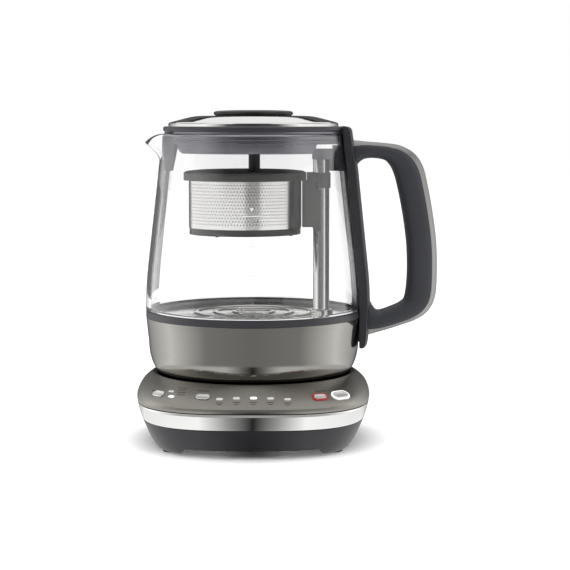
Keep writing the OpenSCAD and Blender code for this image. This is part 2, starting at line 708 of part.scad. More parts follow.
module post_cap() {
    color("#8b8b90", 0.7) difference() {
        union() {
            translate([cap_left, -cap_half_w, post_top_z])
                cube([cap_right - cap_left, 2 * cap_half_w, cap_h]);
            translate([post_x, 0, post_top_z - 4])
                cylinder(r = post_r - post_wall - tight, h = cap_h + 4, $fn = 48);
            translate([cap_leg_x, -cap_half_w, bracket_z])
                cube([cap_right - cap_leg_x, 2 * cap_half_w, post_top_z - bracket_z + 1]);
        }
        translate([post_x, 0, post_top_z - 5]) cylinder(r = screw_r + run_gap, h = 8, $fn = 32);
    }
}
bracket_z = rim_top_z - 26.8;
bracket_top_z = post_top_z + cap_h + 2.5;
module neck_bracket() {
    color(black) difference() {
        intersection() {
            translate([cap_right, -7, bracket_z]) cube([20, 14, bracket_top_z - bracket_z]);
            rotate_extrude($fn = 160) glass_profile(glass_wall + tight, glass_bottom_z, rim_top_z);
        }
        translate([cap_right - 1, 0, neck_screw_z]) rotate([0, 90, 0])
            cylinder(r = handle_screw_r + tight, h = 40, $fn = 32);
    }
}

// ---- handle ----
handle_screw_r = 2;
spine_screw_z = 84;
spine_bottom_z = 68.5;
handle_low_z = spine_bottom_z - 3;
spine_gap = 0.3;
spine_top_z = rim_top_z + 5.6;
function spine_in(z) = (z > collar_top_z ? glass_r(z) : glass_foot_r) + spine_gap;
function spine_out(z) = spine_in(z) + spine_t;
module spine_profile() {
    polygon([[spine_in(0) + 1.5, spine_bottom_z], [spine_in(0), spine_bottom_z + 2], [spine_in(0), bend_z],
        for (z = glass_steps) [spine_in(z), z],
        [spine_in(rim_top_z - 1), rim_top_z - 1], [lid_r + 0.8, rim_top_z + 0.4],
        [lid_r + 0.8, spine_top_z - 0.6],
        [lid_r + 1.6, spine_top_z], [lid_r + 4.6, spine_top_z - 0.8], [lid_r + 6.2, spine_top_z - 2.6],
        [spine_out(rim_top_z) - 0.4, rim_top_z - 4], [spine_out(neck_screw_z) + 0.2, neck_screw_z],
        for (i = [len(glass_steps) - 1:-1:0]) [spine_out(glass_steps[i]) - 0.6, glass_steps[i]],
        for (p = [[1.2, 15.5], [1.6, 8], [2.4, 2.5], [3.4, 0]])
            [spine_out(0) - p[0], spine_bottom_z + p[1]]]);
}
module handle_spine() {
    color(slate) difference() {
        rotate([0, 0, -spine_half_angle])
            rotate_extrude(angle = 2 * spine_half_angle, $fn = 160) spine_profile();
        translate([60, 0, neck_screw_z]) rotate([0, 90, 0]) cylinder(r = handle_screw_r, h = 13, $fn = 32);
        translate([60, 0, spine_screw_z]) rotate([0, 90, 0])
            cylinder(r = handle_screw_r + tight, h = 40, $fn = 32);
    }
}
// The handle's outline in its own plane, beyond the glass's foot and above handle_low_z:
// outer x, outer z, inner x, inner z
handle_outline = [
    [-6.6, 152.9, -5, 131.6], [-0.8, 152.3, -1.2, 137.4], [5.4, 151.7, 5.4, 139.9],
    [16.4, 150.8, 15.4, 138.9], [27.8, 149, 20, 135.3],
    [37.9, 143.5, 23.2, 129], [44.2, 134.5, 25.6, 120.5], [47.8, 121.5, 28, 109.5], [51.8, 100.5, 30.8, 93.5],
    [54.6, 78.5, 32.9, 75.5], [55.2, 55.5, 33.3, 55.5], [54, 39.1, 31.6, 39.5], [49, 28.8, 28, 35],
    [40.4, 22.4, 21.9, 32.1], [27.6, 17.7, 15.4, 29.7], [16.4, 14.2, 11.4, 29.3],
    [9.4, 12.2, 8.6, 32.2], [2.4, 10.1, 6, 38]];
handle_stretch = (rim_top_z - handle_low_z) / 157.5;
handle_pairs = [for (p = handle_outline) [glass_foot_r + p[0], handle_low_z + p[1] * handle_stretch,
    glass_foot_r + p[2], handle_low_z + p[3] * handle_stretch]];
pair_steps = 2;
function blend(p, i, t) =
    let (n = len(p) - 1, a = p[max(0, i - 1)], b = p[i], c = p[min(n, i + 1)], d = p[min(n, i + 2)])
    0.5 * (2 * b + (c - a) * t + (2 * a - 5 * b + 4 * c - d) * t * t + (3 * b - a - 3 * c + d) * t * t * t);
handle_stations = [for (i = [0:len(handle_pairs) - 2], s = [0:pair_steps - 1])
    blend(handle_pairs, i, s / pair_steps),
    handle_pairs[len(handle_pairs) - 1]];
handle_power = 2.6;
function rounded(v) = sign(v) * pow(abs(v), 2 / handle_power);
// Points of one cross-section from angle a0 to angle a1, measured from the outer side
function handle_ring(s, a0, a1, n) = [for (k = [0:n]) let (a = a0 + (a1 - a0) * k / n,
    u = rounded(cos(a)), v = rounded(sin(a)))
    [(s[0] + s[2]) / 2 + u * (s[0] - s[2]) / 2, -v * grip_half_w, (s[1] + s[3]) / 2 + u * (s[1] - s[3]) / 2]];
trim_angle = acos(pow(1 - 2 * trim_share, handle_power / 2));
module outside_spine() {
    difference() {
        children();
        rotate_extrude($fn = 160) union() {
            spine_profile();
            translate([0, 50]) square([spine_in(rim_top_z), 190]);
        }
        translate([60, 0, spine_screw_z]) rotate([0, 90, 0]) cylinder(r = handle_screw_r, h = 33, $fn = 32);
    }
}
module handle_grip() {
    color("#45474d") outside_spine()
        loft([for (s = handle_stations) handle_ring(s, trim_angle + 1, 359 - trim_angle, 17)]);
}
module handle_trim() {
    color("#8d8c89") outside_spine()
        loft([for (s = handle_stations) handle_ring(s, -trim_angle, trim_angle, 7)]);
}
module handle_screws() {
    color(steel) {
        translate([cap_right + tight, 0, neck_screw_z]) rotate([0, 90, 0])
            cylinder(r = handle_screw_r - 0.02, h = 14, $fn = 32);
        translate([shell_r(spine_screw_z) - shell_wall - 2.5, 0, spine_screw_z]) rotate([0, 90, 0]) {
            cylinder(r = handle_screw_r - 0.02, h = 17, $fn = 32);
            cylinder(r = 3.4, h = 2, $fn = 32);
        }
    }
}

// ---- lead screw and drive nut inside the post ----
module lead_screw() {
    color(steel) translate([post_x, 0, coupler_top_z - 3])
        cylinder(r = screw_r, h = post_top_z - coupler_top_z + 5, $fn = 48);
}
module shaft_coupler() {
    color("#d0cfc8") translate([post_x, 0, coupler_top_z - coupler_l]) difference() {
        cylinder(r = coupler_r, h = coupler_l, $fn = 48);
        translate([0, 0, coupler_l - 3]) cylinder(r = screw_r, h = 10, $fn = 48);
    }
    color(steel) translate([post_x, 0, motor_top_z - 6]) cylinder(r = 1.5, h = 6 + loose, $fn = 32);
}
collar_grip_h = 11.2;
nut_r = post_r - post_wall - run_gap;
nut_h = collar_grip_h - 1;
module drive_nut() {
    color("#e0dccb") translate([post_x, 0, grip_z + 0.5]) difference() {
        cylinder(r = nut_r, h = nut_h, $fn = 64);
        translate([0, 0, -1]) cylinder(r = screw_r + run_gap, h = nut_h + 2, $fn = 48);
        for (z = [1.5, nut_h - 4]) translate([0, 0, z]) tube(nut_r + 1, magnet_in_r, 2.5);
    }
}
magnet_in_r = 3.3;
module drive_magnets() {
    color("#77777a") for (z = [1.5, nut_h - 4]) translate([post_x, 0, grip_z + 0.5 + z])
        tube(nut_r - 0.05, magnet_in_r, 2.5);
}

// ---- basket carriage ----
basket_x = -basket_off;
basket_r = post_x + basket_off - basket_gap;
basket_z = rim_top_z - basket_depth;
wall_z = basket_z + base_ring_h + basket_t;
wall_top_z = wall_z + basket_h;
rim_low_z = wall_top_z;
rim_high_z = rim_low_z + basket_rim_h;
grip_z = rim_high_z - 0.3 - collar_grip_h;
arm_half_w = 8;
arm_left = basket_x + basket_r + 0.6;
arm_bottom_z = rim_low_z - 33.9;
tongue_half_w = 6;
tongue_t = 1.6;
tongue_h = 6;
tongue_x = basket_x + basket_r + basket_lip - tongue_t;
module carriage_frame() {
    rim_edge = basket_x + basket_r + basket_lip + 0.4;
    color(olive) difference() {
        union() {
            translate([arm_left, -arm_half_w, arm_bottom_z])
                cube([post_x - 4 - arm_left, 2 * arm_half_w, rim_low_z - arm_bottom_z]);
            translate([rim_edge, -arm_half_w, rim_low_z - 1])
                cube([post_x - 3 - rim_edge, 2 * arm_half_w, rim_high_z - rim_low_z + 0.7]);
            for (side = [-1, 1]) translate([post_x - 6, side * (arm_half_w - 1) - 1, arm_bottom_z - 3])
                cube([5, 2, 30]);
            intersection() {
                translate([post_x, 0, grip_z]) cylinder(r = arm_half_w, h = collar_grip_h, $fn = 64);
                translate([post_x - 10, -10, grip_z - 1]) cube([post_r + 10.6, 20, 20]);
            }
        }
        translate([post_x, 0, 100]) cylinder(r = post_r + run_gap, h = 120, $fn = 64);
        translate([tongue_x - loose, -tongue_half_w - loose, rim_low_z - tongue_h - loose])
            cube([tongue_t + 2 * loose, 2 * tongue_half_w + 2 * loose, tongue_h + 10]);
        for (z = [grip_z + 2, grip_z + 6.5]) translate([magnet_x, -3, z]) cube([magnet_t, 6, 2.5]);
    }
}
magnet_t = 1.6;
magnet_x = post_x - post_r - 2.2;
module carriage_magnets() {
    color("#77777a") for (z = [grip_z + 2, grip_z + 6.5])
        translate([magnet_x, -3, z]) cube([magnet_t, 6, 2.5]);
}

// ---- tea basket ----
module at_basket() {
    translate([basket_x, 0, 0]) children();
}
module basket_rim() {
    color(olive) {
        at_basket() rotate_extrude($fn = 120) polygon([
            [basket_r + 0.05, rim_low_z], [basket_r + basket_lip, rim_low_z],
            [basket_r + basket_lip, rim_high_z - 0.6],
            [basket_r + basket_lip - 0.6, rim_high_z], [basket_r + 0.05, rim_high_z]]);
        translate([tongue_x, -tongue_half_w, rim_low_z - tongue_h])
            cube([tongue_t - 0.3, 2 * tongue_half_w, tongue_h + 1]);
    }
}
module basket_wall() {
    color(steel) at_basket() translate([0, 0, wall_z])
        tube(basket_r, basket_r - basket_t, basket_h + basket_rim_h - 0.6);
}
module basket_floor() {
    color(steel) at_basket() translate([0, 0, wall_z - basket_t])
        cylinder(r = basket_r, h = basket_t, $fn = 120);
}
bump_r = 1.8;
module basket_base_ring() {
    ring_r = basket_r - 0.5;
    color(olive) at_basket() difference() {
        union() {
            translate([0, 0, basket_z]) tube(ring_r, ring_r - 3.5, base_ring_h);
            translate([0, 0, basket_z]) tube(9, 6, base_ring_h);
            for (a = [15, 75, 135]) rotate([0, 0, a]) translate([-ring_r + 2, -1, basket_z + 2.5])
                cube([2 * ring_r - 4, 2, base_ring_h - 2.5]);
            for (a = [-120, -30, 60, 150]) rotate([0, 0, a])
                translate([ring_r - bump_r - 0.4, 0, basket_z + 1])
                sphere(r = bump_r, $fn = 32);
        }
        translate([0, 0, basket_z]) cylinder(r = 6, h = base_ring_h + 1, $fn = 48);
    }
}
plug_depth = 3;
lid_top_z = rim_high_z + 1.9;
stem_x = 0.6;
module basket_lid() {
    color(olive) at_basket() rotate_extrude($fn = 120) polygon([
        [0, rim_high_z - plug_depth], [basket_r - basket_t - loose, rim_high_z - plug_depth],
        [basket_r - basket_t - loose, rim_high_z], [basket_r + basket_lip - 1.2, rim_high_z],
        [basket_r + basket_lip - 1.6, rim_high_z + 0.7], [basket_r - 6, lid_top_z - 0.3],
        [20, lid_top_z], [0, lid_top_z]]);
}
module basket_lid_stem() {
    color(black) translate([stem_x, 0, lid_top_z]) {
        cylinder(r = stem_r, h = stem_l, $fn = 48);
        translate([0, 0, stem_l - 2]) cylinder(r = stem_r + 1.8, h = 2, $fn = 48);
    }
}

// ---- jug lid ----
rim_rest_z = rim_top_z + 1.6;
lid_top_rim_z = rim_rest_z + lid_rim_h;
deck_z = rim_rest_z + 1;
deck_t = 1.8;
skirt_cut_angle = 36;
ring_cut_angle = 29;
handle_cut_angle = 45;
skirt_r = rim_r_in - skirt_gap;
seal_r = rim_r_in - 0.35;
lid_r = rim_r_out - lid_inset;
dome_r = lid_r - dome_inset;
module lid_rim() {
    color(slate) difference() {
        rotate_extrude($fn = 160) polygon([
            [0, deck_z], [skirt_r - skirt_t - 1, deck_z], [skirt_r - skirt_t - 1, rim_rest_z],
            [lid_r - 0.8, rim_rest_z],
            [lid_r, rim_rest_z + 0.8], [lid_r, lid_top_rim_z - 0.9], [lid_r - 0.9, lid_top_rim_z],
            [dome_r - 2, lid_top_rim_z], [dome_r - 2, deck_z + deck_t], [0, deck_z + deck_t]]);
        for (a = lid_screw_angles) rotate([0, 0, a]) translate([lid_screw_ring_r, 0, deck_z - 1])
            cylinder(r = lid_screw_r + tight, h = 10, $fn = 32);
    }
}
skirt_t = 2.2;
lid_screw_angles = [60, 180, 300];
lid_screw_ring_r = 16;
lid_screw_r = 1.5;
dome_t = 0.9;
dome_base_z = lid_top_rim_z;
dome_top_z = dome_base_z + dome_h;
module dome_profile(inset) {
    polygon([[0, dome_base_z - (inset > 0 ? 1 : 0)], [dome_r - inset, dome_base_z - (inset > 0 ? 1 : 0)],
        [dome_r - inset, dome_base_z + 1.7 - inset], [dome_r - 0.9 - inset, dome_base_z + 2.5 - inset],
        [0.745 * dome_r, dome_top_z - 1 - inset], [0.66 * dome_r, dome_top_z - 0.3 - inset],
        [0.5 * dome_r, dome_top_z - inset], [0, dome_top_z - inset]]);
}
module lid_plate() {
    color(steel) difference() {
        rotate_extrude($fn = 160) difference() {
            dome_profile(0);
            dome_profile(dome_t);
        }
        for (a = lid_screw_angles) rotate([0, 0, a]) translate([lid_screw_ring_r, 0, dome_base_z])
            cylinder(r = boss_r + tight, h = 20, $fn = 32);
    }
}
boss_r = 3.2;
module lid_knob() {
    knob_top = dome_top_z + knob_h;
    color("#3a3a39") difference() {
        union() {
            rotate_extrude($fn = 120) polygon([[0, dome_top_z], [knob_r - 1.2, dome_top_z],
            [knob_r, dome_top_z + 1],
                [knob_r, knob_top - 1.9], [knob_r - 0.8, knob_top - 0.9], [knob_r - 3, knob_top - 0.5],
                [0.5 * knob_r, knob_top],
                [0, knob_top]]);
            for (a = lid_screw_angles) rotate([0, 0, a]) translate([lid_screw_ring_r, 0, deck_z + deck_t])
                cylinder(r = boss_r, h = dome_top_z - deck_z - deck_t + 0.5, $fn = 32);
        }
        for (a = lid_screw_angles) rotate([0, 0, a]) translate([lid_screw_ring_r, 0, deck_z])
            cylinder(r = lid_screw_r, h = 8, $fn = 32);
    }
}
module lid_screws() {
    color(steel) for (a = lid_screw_angles) rotate([0, 0, a]) translate([lid_screw_ring_r, 0, 0]) {
        translate([0, 0, deck_z - 1.4]) cylinder(r = 2.8, h = 1.4, $fn = 32);
        translate([0, 0, deck_z - 0.5]) cylinder(r = lid_screw_r - 0.02, h = 8, $fn = 32);
    }
}
ring_low_z = rim_top_z - 7.5;
module arc_tube(r_out, r_in, z_low, z_high, from, to) {
    rotate([0, 0, from]) rotate_extrude(angle = to - from, $fn = 160)
        translate([r_in, z_low]) square([r_out - r_in, z_high - z_low]);
}
module lid_skirt() {
    skirt_low_z = rim_top_z - skirt_depth;
    color("#6d6c74", 0.8) difference() {
        arc_tube(skirt_r, skirt_r - skirt_t, skirt_low_z, rim_rest_z,
            ring_cut_angle - 180, 180 - ring_cut_angle);
        sector(2 * skirt_r, handle_cut_angle, skirt_low_z - 1, ring_low_z);
        mirror([1, 0, 0]) sector(2 * skirt_r, skirt_cut_angle, skirt_low_z - 1, ring_low_z);
    }
}
module lid_seal() {
    color("#55545b") {
        arc_tube(lid_r - 1.5, skirt_r + 0.05, rim_top_z, rim_rest_z,
            ring_cut_angle - 180, 180 - ring_cut_angle);
        arc_tube(seal_r - 0.8, skirt_r + 0.05, ring_low_z + 0.4, rim_top_z + 0.5,
            ring_cut_angle - 180, 180 - ring_cut_angle);
        for (z = [ring_low_z + 0.4, ring_low_z + 3, ring_low_z + 5.4])
            arc_tube(seal_r, skirt_r + 0.5, z, z + 0.9, ring_cut_angle - 180, 180 - ring_cut_angle);
    }
}
guard_face_x = -rim_r_out + 1.9;
guard_back_x = -skirt_r + 4.9;
guard_half_w = 9;
guard_t = 1.6;
module spout_guard() {
    low_z = rim_top_z - guard_depth;
    shape = [[guard_face_x, rim_rest_z], [guard_face_x, low_z + 1], [guard_face_x + 1.2, low_z],
        [guard_face_x + 4.4, low_z], [guard_back_x, ring_low_z - 0.5], [guard_back_x, rim_rest_z]];
    color("#77767e", 0.8) {
        for (side = [-1, 1]) translate([0, side * (guard_half_w - guard_t / 2) + guard_t / 2, 0])
            rotate([90, 0, 0]) linear_extrude(guard_t) polygon(shape);
        translate([guard_face_x, -guard_half_w + 0.5, low_z + 1])
            cube([guard_t, 2 * guard_half_w - 1, rim_rest_z - low_z - 1]);
    }
}

base_housing();
rubber_feet();
trim_band();
control_panel();
seat_dish();
base_connector();
connector_pin();
connector_shroud();
control_board();
switch_mounts();
tact_switches();
power_board();
indicator_lenses();
start_light_ring();
keep_warm_light_ring();
cord_gland();
base_screws();
strength_button();
tea_type_button();
keep_warm_button();
start_button();
glass_body();
glass_collar();
glass_seal();
jug_shell();
floor_plate();
heating_element();
jug_bottom_cover();
jug_connector();
temperature_sensor();
lift_motor();
motor_bracket();
lift_post();
post_cap();
neck_bracket();
handle_spine();
handle_grip();
handle_trim();
handle_screws();
lead_screw();
shaft_coupler();
drive_nut();
drive_magnets();
carriage_frame();
carriage_magnets();
basket_rim();
basket_wall();
basket_floor();
basket_base_ring();
basket_lid();
basket_lid_stem();
lid_rim();
lid_plate();
lid_knob();
lid_seal();
lid_skirt();
spout_guard();
lid_screws();
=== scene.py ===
# %% [markdown]
# # An automatic tea maker, dressed in Blender
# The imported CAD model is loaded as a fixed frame. Every visible surface then gets a finish, and the
# shells whose curves the CAD holds only as facets are modelled again as smooth meshes in the same
# place. Lengths are written in millimetres and turned into metres once, when a piece is finished.

# %% Load the frame
import math

import bmesh
import bpy
from mathutils import Matrix, Vector


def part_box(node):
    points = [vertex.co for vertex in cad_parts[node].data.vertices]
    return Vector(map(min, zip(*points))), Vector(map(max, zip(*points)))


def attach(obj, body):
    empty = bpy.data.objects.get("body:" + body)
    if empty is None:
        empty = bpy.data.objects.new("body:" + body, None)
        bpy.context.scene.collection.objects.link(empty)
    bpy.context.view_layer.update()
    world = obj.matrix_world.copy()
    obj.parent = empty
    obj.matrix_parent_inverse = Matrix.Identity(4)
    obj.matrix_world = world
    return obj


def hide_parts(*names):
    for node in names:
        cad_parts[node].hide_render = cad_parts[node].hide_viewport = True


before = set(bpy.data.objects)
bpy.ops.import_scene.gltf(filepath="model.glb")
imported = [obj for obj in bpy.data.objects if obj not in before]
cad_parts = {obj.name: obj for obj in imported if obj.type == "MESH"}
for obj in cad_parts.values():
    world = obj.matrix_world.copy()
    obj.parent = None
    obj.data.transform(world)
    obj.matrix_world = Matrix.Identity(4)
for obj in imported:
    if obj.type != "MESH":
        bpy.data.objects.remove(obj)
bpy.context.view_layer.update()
MM = 0.001
WELD = 0.01     # vertices nearer than this, in mm, are one vertex
ROUND = 192     # steps round the jug and the base
FULL = 2 * math.pi


# %% [markdown]
# ## Materials: one small function adds a shader node
# A finish is a few nodes: a pattern in the object's own millimetres, a ramp that turns the pattern
# into colour or roughness, and a bump. `add` makes one node with its settings and links. Colours are
# written as the hex values that one reads off a sample, so they are turned from sRGB to linear light.

# %% The node and colour helpers
def linear(code):
    """A linear colour from an sRGB hex value such as 7f7d78"""
    parts = [int(code[i:i + 2], 16) / 255 for i in (0, 2, 4)]
    return [p / 12.92 if p <= 0.04045 else ((p + 0.055) / 1.055) ** 2.4 for p in parts] + [1.0]


def add(material, kind, settings=None, inputs=None):
    """One node of that kind; an input is a value, or another node's socket to link"""
    node = material.node_tree.nodes.new(kind)
    for name, value in (settings or {}).items():
        setattr(node, name, value)
    for name, value in (inputs or {}).items():
        if isinstance(value, bpy.types.NodeSocket):
            material.node_tree.links.new(value, node.inputs[name])
        else:
            node.inputs[name].default_value = value
    return node


def new_material(name):
    material = bpy.data.materials.new(name)
    material.use_nodes = True
    material.node_tree.nodes.clear()
    return material


def place(material, scale=(1, 1, 1)):
    """The point on the object in millimetres, stretched by scale"""
    coordinates = add(material, "ShaderNodeTexCoord")
    return add(material, "ShaderNodeMapping", inputs={
        "Vector": coordinates.outputs["Object"], "Scale": [s / MM for s in scale]}).outputs["Vector"]


def blend_colours(material, factor, first, second):
    """A colour between two hex values, where factor says"""
    ramp = add(material, "ShaderNodeValToRGB", inputs={"Fac": factor})
    ramp.color_ramp.elements[0].color = linear(first)
    ramp.color_ramp.elements[1].color = linear(second)
    return ramp.outputs["Color"]


def spread(material, factor, low, high):
    """A number from low to high, as factor goes from 0 to 1"""
    return add(material, "ShaderNodeMapRange", inputs={
        "Value": factor, "To Min": low, "To Max": high}).outputs["Result"]


def noise(material, scale, stretch=(1, 1, 1), **more):
    """A noise pattern from 0 to 1, in the object's own millimetres"""
    return add(material, "ShaderNodeTexNoise", inputs={
        "Vector": place(material, stretch), "Scale": scale, **more}).outputs["Fac"]


def relief(material, pattern, strength, distance=0.0001):
    """The surface's normal, bumped by a pattern; distance is in metres"""
    return add(material, "ShaderNodeBump", inputs={
        "Strength": strength, "Distance": distance, "Height": pattern}).outputs["Normal"]


def arithmetic(material, operation, *values):
    return add(material, "ShaderNodeMath", {"operation": operation}, dict(enumerate(values))).outputs[0]


def on_vectors(material, operation, *values):
    return add(material, "ShaderNodeVectorMath", {"operation": operation}, dict(enumerate(values))).outputs


def surface(material, inputs):
    """The material itself, finished with one shader that has those inputs"""
    shader = add(material, "ShaderNodeBsdfPrincipled", inputs=inputs)
    add(material, "ShaderNodeOutputMaterial", inputs={"Surface": shader.outputs["BSDF"]})
    return material


# %% [markdown]
# ## Metals
# Polished stainless steel is a mirror with the faintest waviness. Brushed steel has grain: noise
# squeezed hard in one direction. The jug's shell and the panel are stainless steel with a smoked
# coating, whose satin grain blurs what it reflects into soft bands.

# %% The metals
def metal(name, dark, light, low_rough, high_rough, grain, bump):
    """A metal whose grain varies its colour and roughness; grain is in strokes per millimetre"""
    material = new_material(name)
    strokes = noise(material, 1.0, grain, Detail=3.0, Roughness=0.6)
    return surface(material, {
        "Base Color": blend_colours(material, strokes, dark, light), "Metallic": 1.0,
        "Roughness": spread(material, strokes, low_rough, high_rough),
        "Normal": relief(material, strokes, bump)})


polished_steel = metal("polished_stainless_steel", "dddddb", "e6e6e4", 0.035, 0.07, (0.03, 0.03, 0.05), 0.02)
satin_steel = metal("satin_stainless_steel", "dadad8", "e8e8e6", 0.12, 0.18, (0.3, 0.3, 6), 0.03)
zinc_steel = metal("zinc_plated_steel", "a3a5a6", "b9babb", 0.3, 0.42, (0.8, 0.8, 0.8), 0.1)
magnet_nickel = metal("nickel_plated_magnet", "8c8c8e", "9c9c9e", 0.18, 0.28, (1, 1, 1), 0.05)
contact_brass = metal("plated_brass", "a98d4c", "c0a560", 0.22, 0.34, (1, 1, 1), 0.05)
# fine satin coat over steel: warm grey, soft highlight, no visible strokes
smoked_shell = metal("smoked_coated_steel", "94928d", "9c9a95", 0.11, 0.15, (0.5, 0.5, 5), 0.02)
smoked_panel = metal("smoked_coated_panel", "8f8c86", "999690", 0.3, 0.36, (0.9, 0.9, 0.9), 0.03)
print("metals made")


# %% [markdown]
# The jug's floor is turned steel: fine rings round its own axis. A ring is a wave of the distance
# from the jug's axis, which is the object's own z axis.

# %% The turned steel of the jug's floor
def turned_steel(name):
    material = new_material(name)
    rings = add(material, "ShaderNodeTexWave", {"wave_type": "RINGS", "rings_direction": "Z"}, {
        "Vector": place(material), "Scale": 0.35, "Distortion": 0.4, "Detail": 2.0}).outputs["Fac"]
    return surface(material, {
        "Base Color": blend_colours(material, rings, "d2d1ce", "e6e5e2"), "Metallic": 1.0,
        "Roughness": spread(material, rings, 0.07, 0.14), "Normal": relief(material, rings, 0.12, 0.0002)})


floor_steel = turned_steel("turned_stainless_steel")


# %% [markdown]
# ## Plastics and rubber
# Moulded plastic takes its surface from the tool: a fine spark-eroded texture on housings, almost
# none on glossy parts. The grain is about half a millimetre, drawn a little coarser than real.

# %% The plastics
def plastic(name, dark, light, rough, grain_mm=0.6, bump=0.12, sheen=0.0):
    """Moulded plastic with a spark-eroded grain of that size"""
    material = new_material(name)
    grain = noise(material, 1 / grain_mm, Detail=2.0)
    return surface(material, {
        "Base Color": blend_colours(material, noise(material, 0.04, Detail=1.0), dark, light),
        "Roughness": spread(material, grain, rough - 0.05, rough + 0.05), "IOR": 1.5,
        "Sheen Weight": sheen, "Normal": relief(material, grain, bump)})


# the bright room adds about four percent of white to each, so the written colours are a little deeper
slate_abs = plastic("slate_moulded_abs", "2f2f34", "36353b", 0.38)
housing_abs = plastic("dark_slate_housing_abs", "1e1e22", "28282c", 0.42)
black_nylon = plastic("black_moulded_nylon", "0c0c0d", "121213", 0.35)
knob_plastic = plastic("black_satin_knob", "161617", "1d1d1e", 0.33, 0.4, 0.06)
olive_pp = plastic("grey_food_grade_plastic", "434341", "4b4b48", 0.36, 0.5, 0.06)
grip_tpe = plastic("soft_touch_grip", "2f3035", "37383d", 0.52, 0.5, 0.15, sheen=0.1)
foot_rubber = plastic("moulded_rubber", "151515", "1b1b1b", 0.7, 0.5, 0.2)
seal_silicone = plastic("grey_silicone", "3d3c43", "47464d", 0.45, 0.5, 0.05)
nut_acetal = plastic("white_acetal", "dedacb", "e6e2d4", 0.4, 0.5, 0.04)
mark_ink = plastic("white_printed_ink", "f2f2f1", "fbfbfa", 0.5, 0.3, 0.02)
panel_ink = plastic("dark_printed_ink", "2c2c2c", "343434", 0.5, 0.3, 0.02)
# the strip on the handle: a lighter metallic piece, a painted highlight along the grip's rounded outer edge
highlight_strip_metal = metal("metallic_strip_painted_highlight", "8e8d8b", "999896", 0.34, 0.42, (2, 2, 2), 0.03)
button_chrome = metal("metallised_button", "e2e1df", "f0efed", 0.46, 0.52, (0.8, 0.8, 0.8), 0.02)
print("plastics made")


# %% [markdown]
# ## Clear and smoked plastics, and glass
# Borosilicate glass has an index of 1.47 and hardly any colour, so all that shows are its
# reflections and the bending at its edges. The lid's skirt is smoked polycarbonate, slightly hazy,
# with a sheen like a thin metal vapour coat that mirrors the room.

# %% The clear materials
cloud_mm = 20


def clear(name, dark, light, ior, rough, transmission, mirror=0.0):
    """Glass or clear plastic, its tint faintly clouded; a vapour coat makes it a part mirror"""
    material = new_material(name)
    return surface(material, {
        "Base Color": blend_colours(material, noise(material, 1 / cloud_mm), dark, light), "IOR": ior,
        "Roughness": rough, "Transmission Weight": transmission, "Metallic": mirror})


jug_glass = clear("borosilicate_glass", "fbfbfb", "fefefe", 1.47, 0.0, 1.0)
smoked_clear = clear("smoked_polycarbonate", "76757c", "807f86", 1.45, 0.26, 0.5, mirror=0.75)
ribbed_clear = clear("smoked_ribbed_seal", "817f88", "8b8a92", 1.45, 0.3, 0.3, mirror=0.7)
guard_clear = clear("smoked_guard_plastic", "a09fa7", "abaab1", 1.4, 0.25, 0.55, mirror=0.2)
cap_clear = clear("smoked_cap_plastic", "8e8e94", "9a9aa0", 1.4, 0.18, 0.5)


# %% [markdown]
# ## Lights behind plastic, and the circuit boards
# An indicator is a frosted light guide: milky plastic that glows evenly when its diode is on. A
# circuit board is glass fibre under green solder mask, with copper tracks showing as a fine maze.

# %% The lit plastics and the boards
def light_guide(name, shade, glow, strength):
    material = new_material(name)
    return surface(material, {
        "Base Color": blend_colours(material, noise(material, 2.0), shade, glow), "Roughness": 0.35,
        "Emission Color": linear(glow), "Emission Strength": strength})


def board_mask(name):
    material = new_material(name)
    tracks = add(material, "ShaderNodeTexBrick", inputs={
        "Vector": place(material), "Scale": 0.25, "Mortar Size": 0.04,
        "Color1": linear("1d5636"), "Color2": linear("205c3b"), "Mortar": linear("3b7a50")})
    return surface(material, {"Base Color": tracks.outputs["Color"], "Roughness": 0.35})


lens_off = light_guide("frosted_lens", "cfcfcd", "dededc", 0.0)
lens_on = light_guide("lit_lens", "f2f2f0", "ffffff", 0.6)
white_ring = light_guide("white_light_ring", "ededeb", "ffffff", 0.35)
red_ring = light_guide("red_light_ring", "7d1c19", "a82a25", 0.2)
solder_mask = board_mask("green_solder_mask")
print("materials", len(bpy.data.materials))


# %% [markdown]
# ## Making a piece
# Every mesh ends the same way: its doubled vertices are merged, its faces are turned outwards, it is
# scaled to metres and shaded smooth up to an edge angle, and it is told which body it rides on; the CAD
# nodes it stands for are hidden, and it takes its material.

# %% The functions that make and finish a piece
def linked(bm, name):
    """The object made of bm, in the scene"""
    mesh = bpy.data.meshes.new(name)
    bm.to_mesh(mesh)
    bm.free()
    piece = bpy.data.objects.new(name, mesh)
    bpy.context.scene.collection.objects.link(piece)
    return piece


def pour(part, bm):
    """Adds part to bm"""
    mesh = bpy.data.meshes.new("part")
    part.to_mesh(mesh)
    part.free()
    bm.from_mesh(mesh)
    bpy.data.meshes.remove(mesh)


def round_edges(piece, width, segments, degrees):
    edge = piece.modifiers.new("edge", "BEVEL")
    edge.width, edge.segments, edge.limit_method = width * MM, segments, "ANGLE"
    edge.angle_limit, edge.harden_normals = math.radians(degrees), True


def finish(bm, name, body, slot, material, replaced=(), smooth=35, turn_out=True):
    bmesh.ops.remove_doubles(bm, verts=bm.verts, dist=WELD)
    if turn_out:
        bmesh.ops.recalc_face_normals(bm, faces=bm.faces)
    bmesh.ops.scale(bm, vec=(MM, MM, MM), verts=bm.verts)
    piece = linked(bm, name)
    mesh = piece.data
    mesh.polygons.foreach_set("use_smooth", [True] * len(mesh.polygons))
    mesh.set_sharp_from_angle(angle=math.radians(smooth))
    mesh.materials.append(material)
    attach(piece, body)
    if replaced:
        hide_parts(*replaced)
    print(name, len(mesh.polygons), "faces")
    return piece


def box_of(node):
    """The lowest and highest corner of a CAD node, in millimetres"""
    low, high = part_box(node)
    return low / MM, high / MM


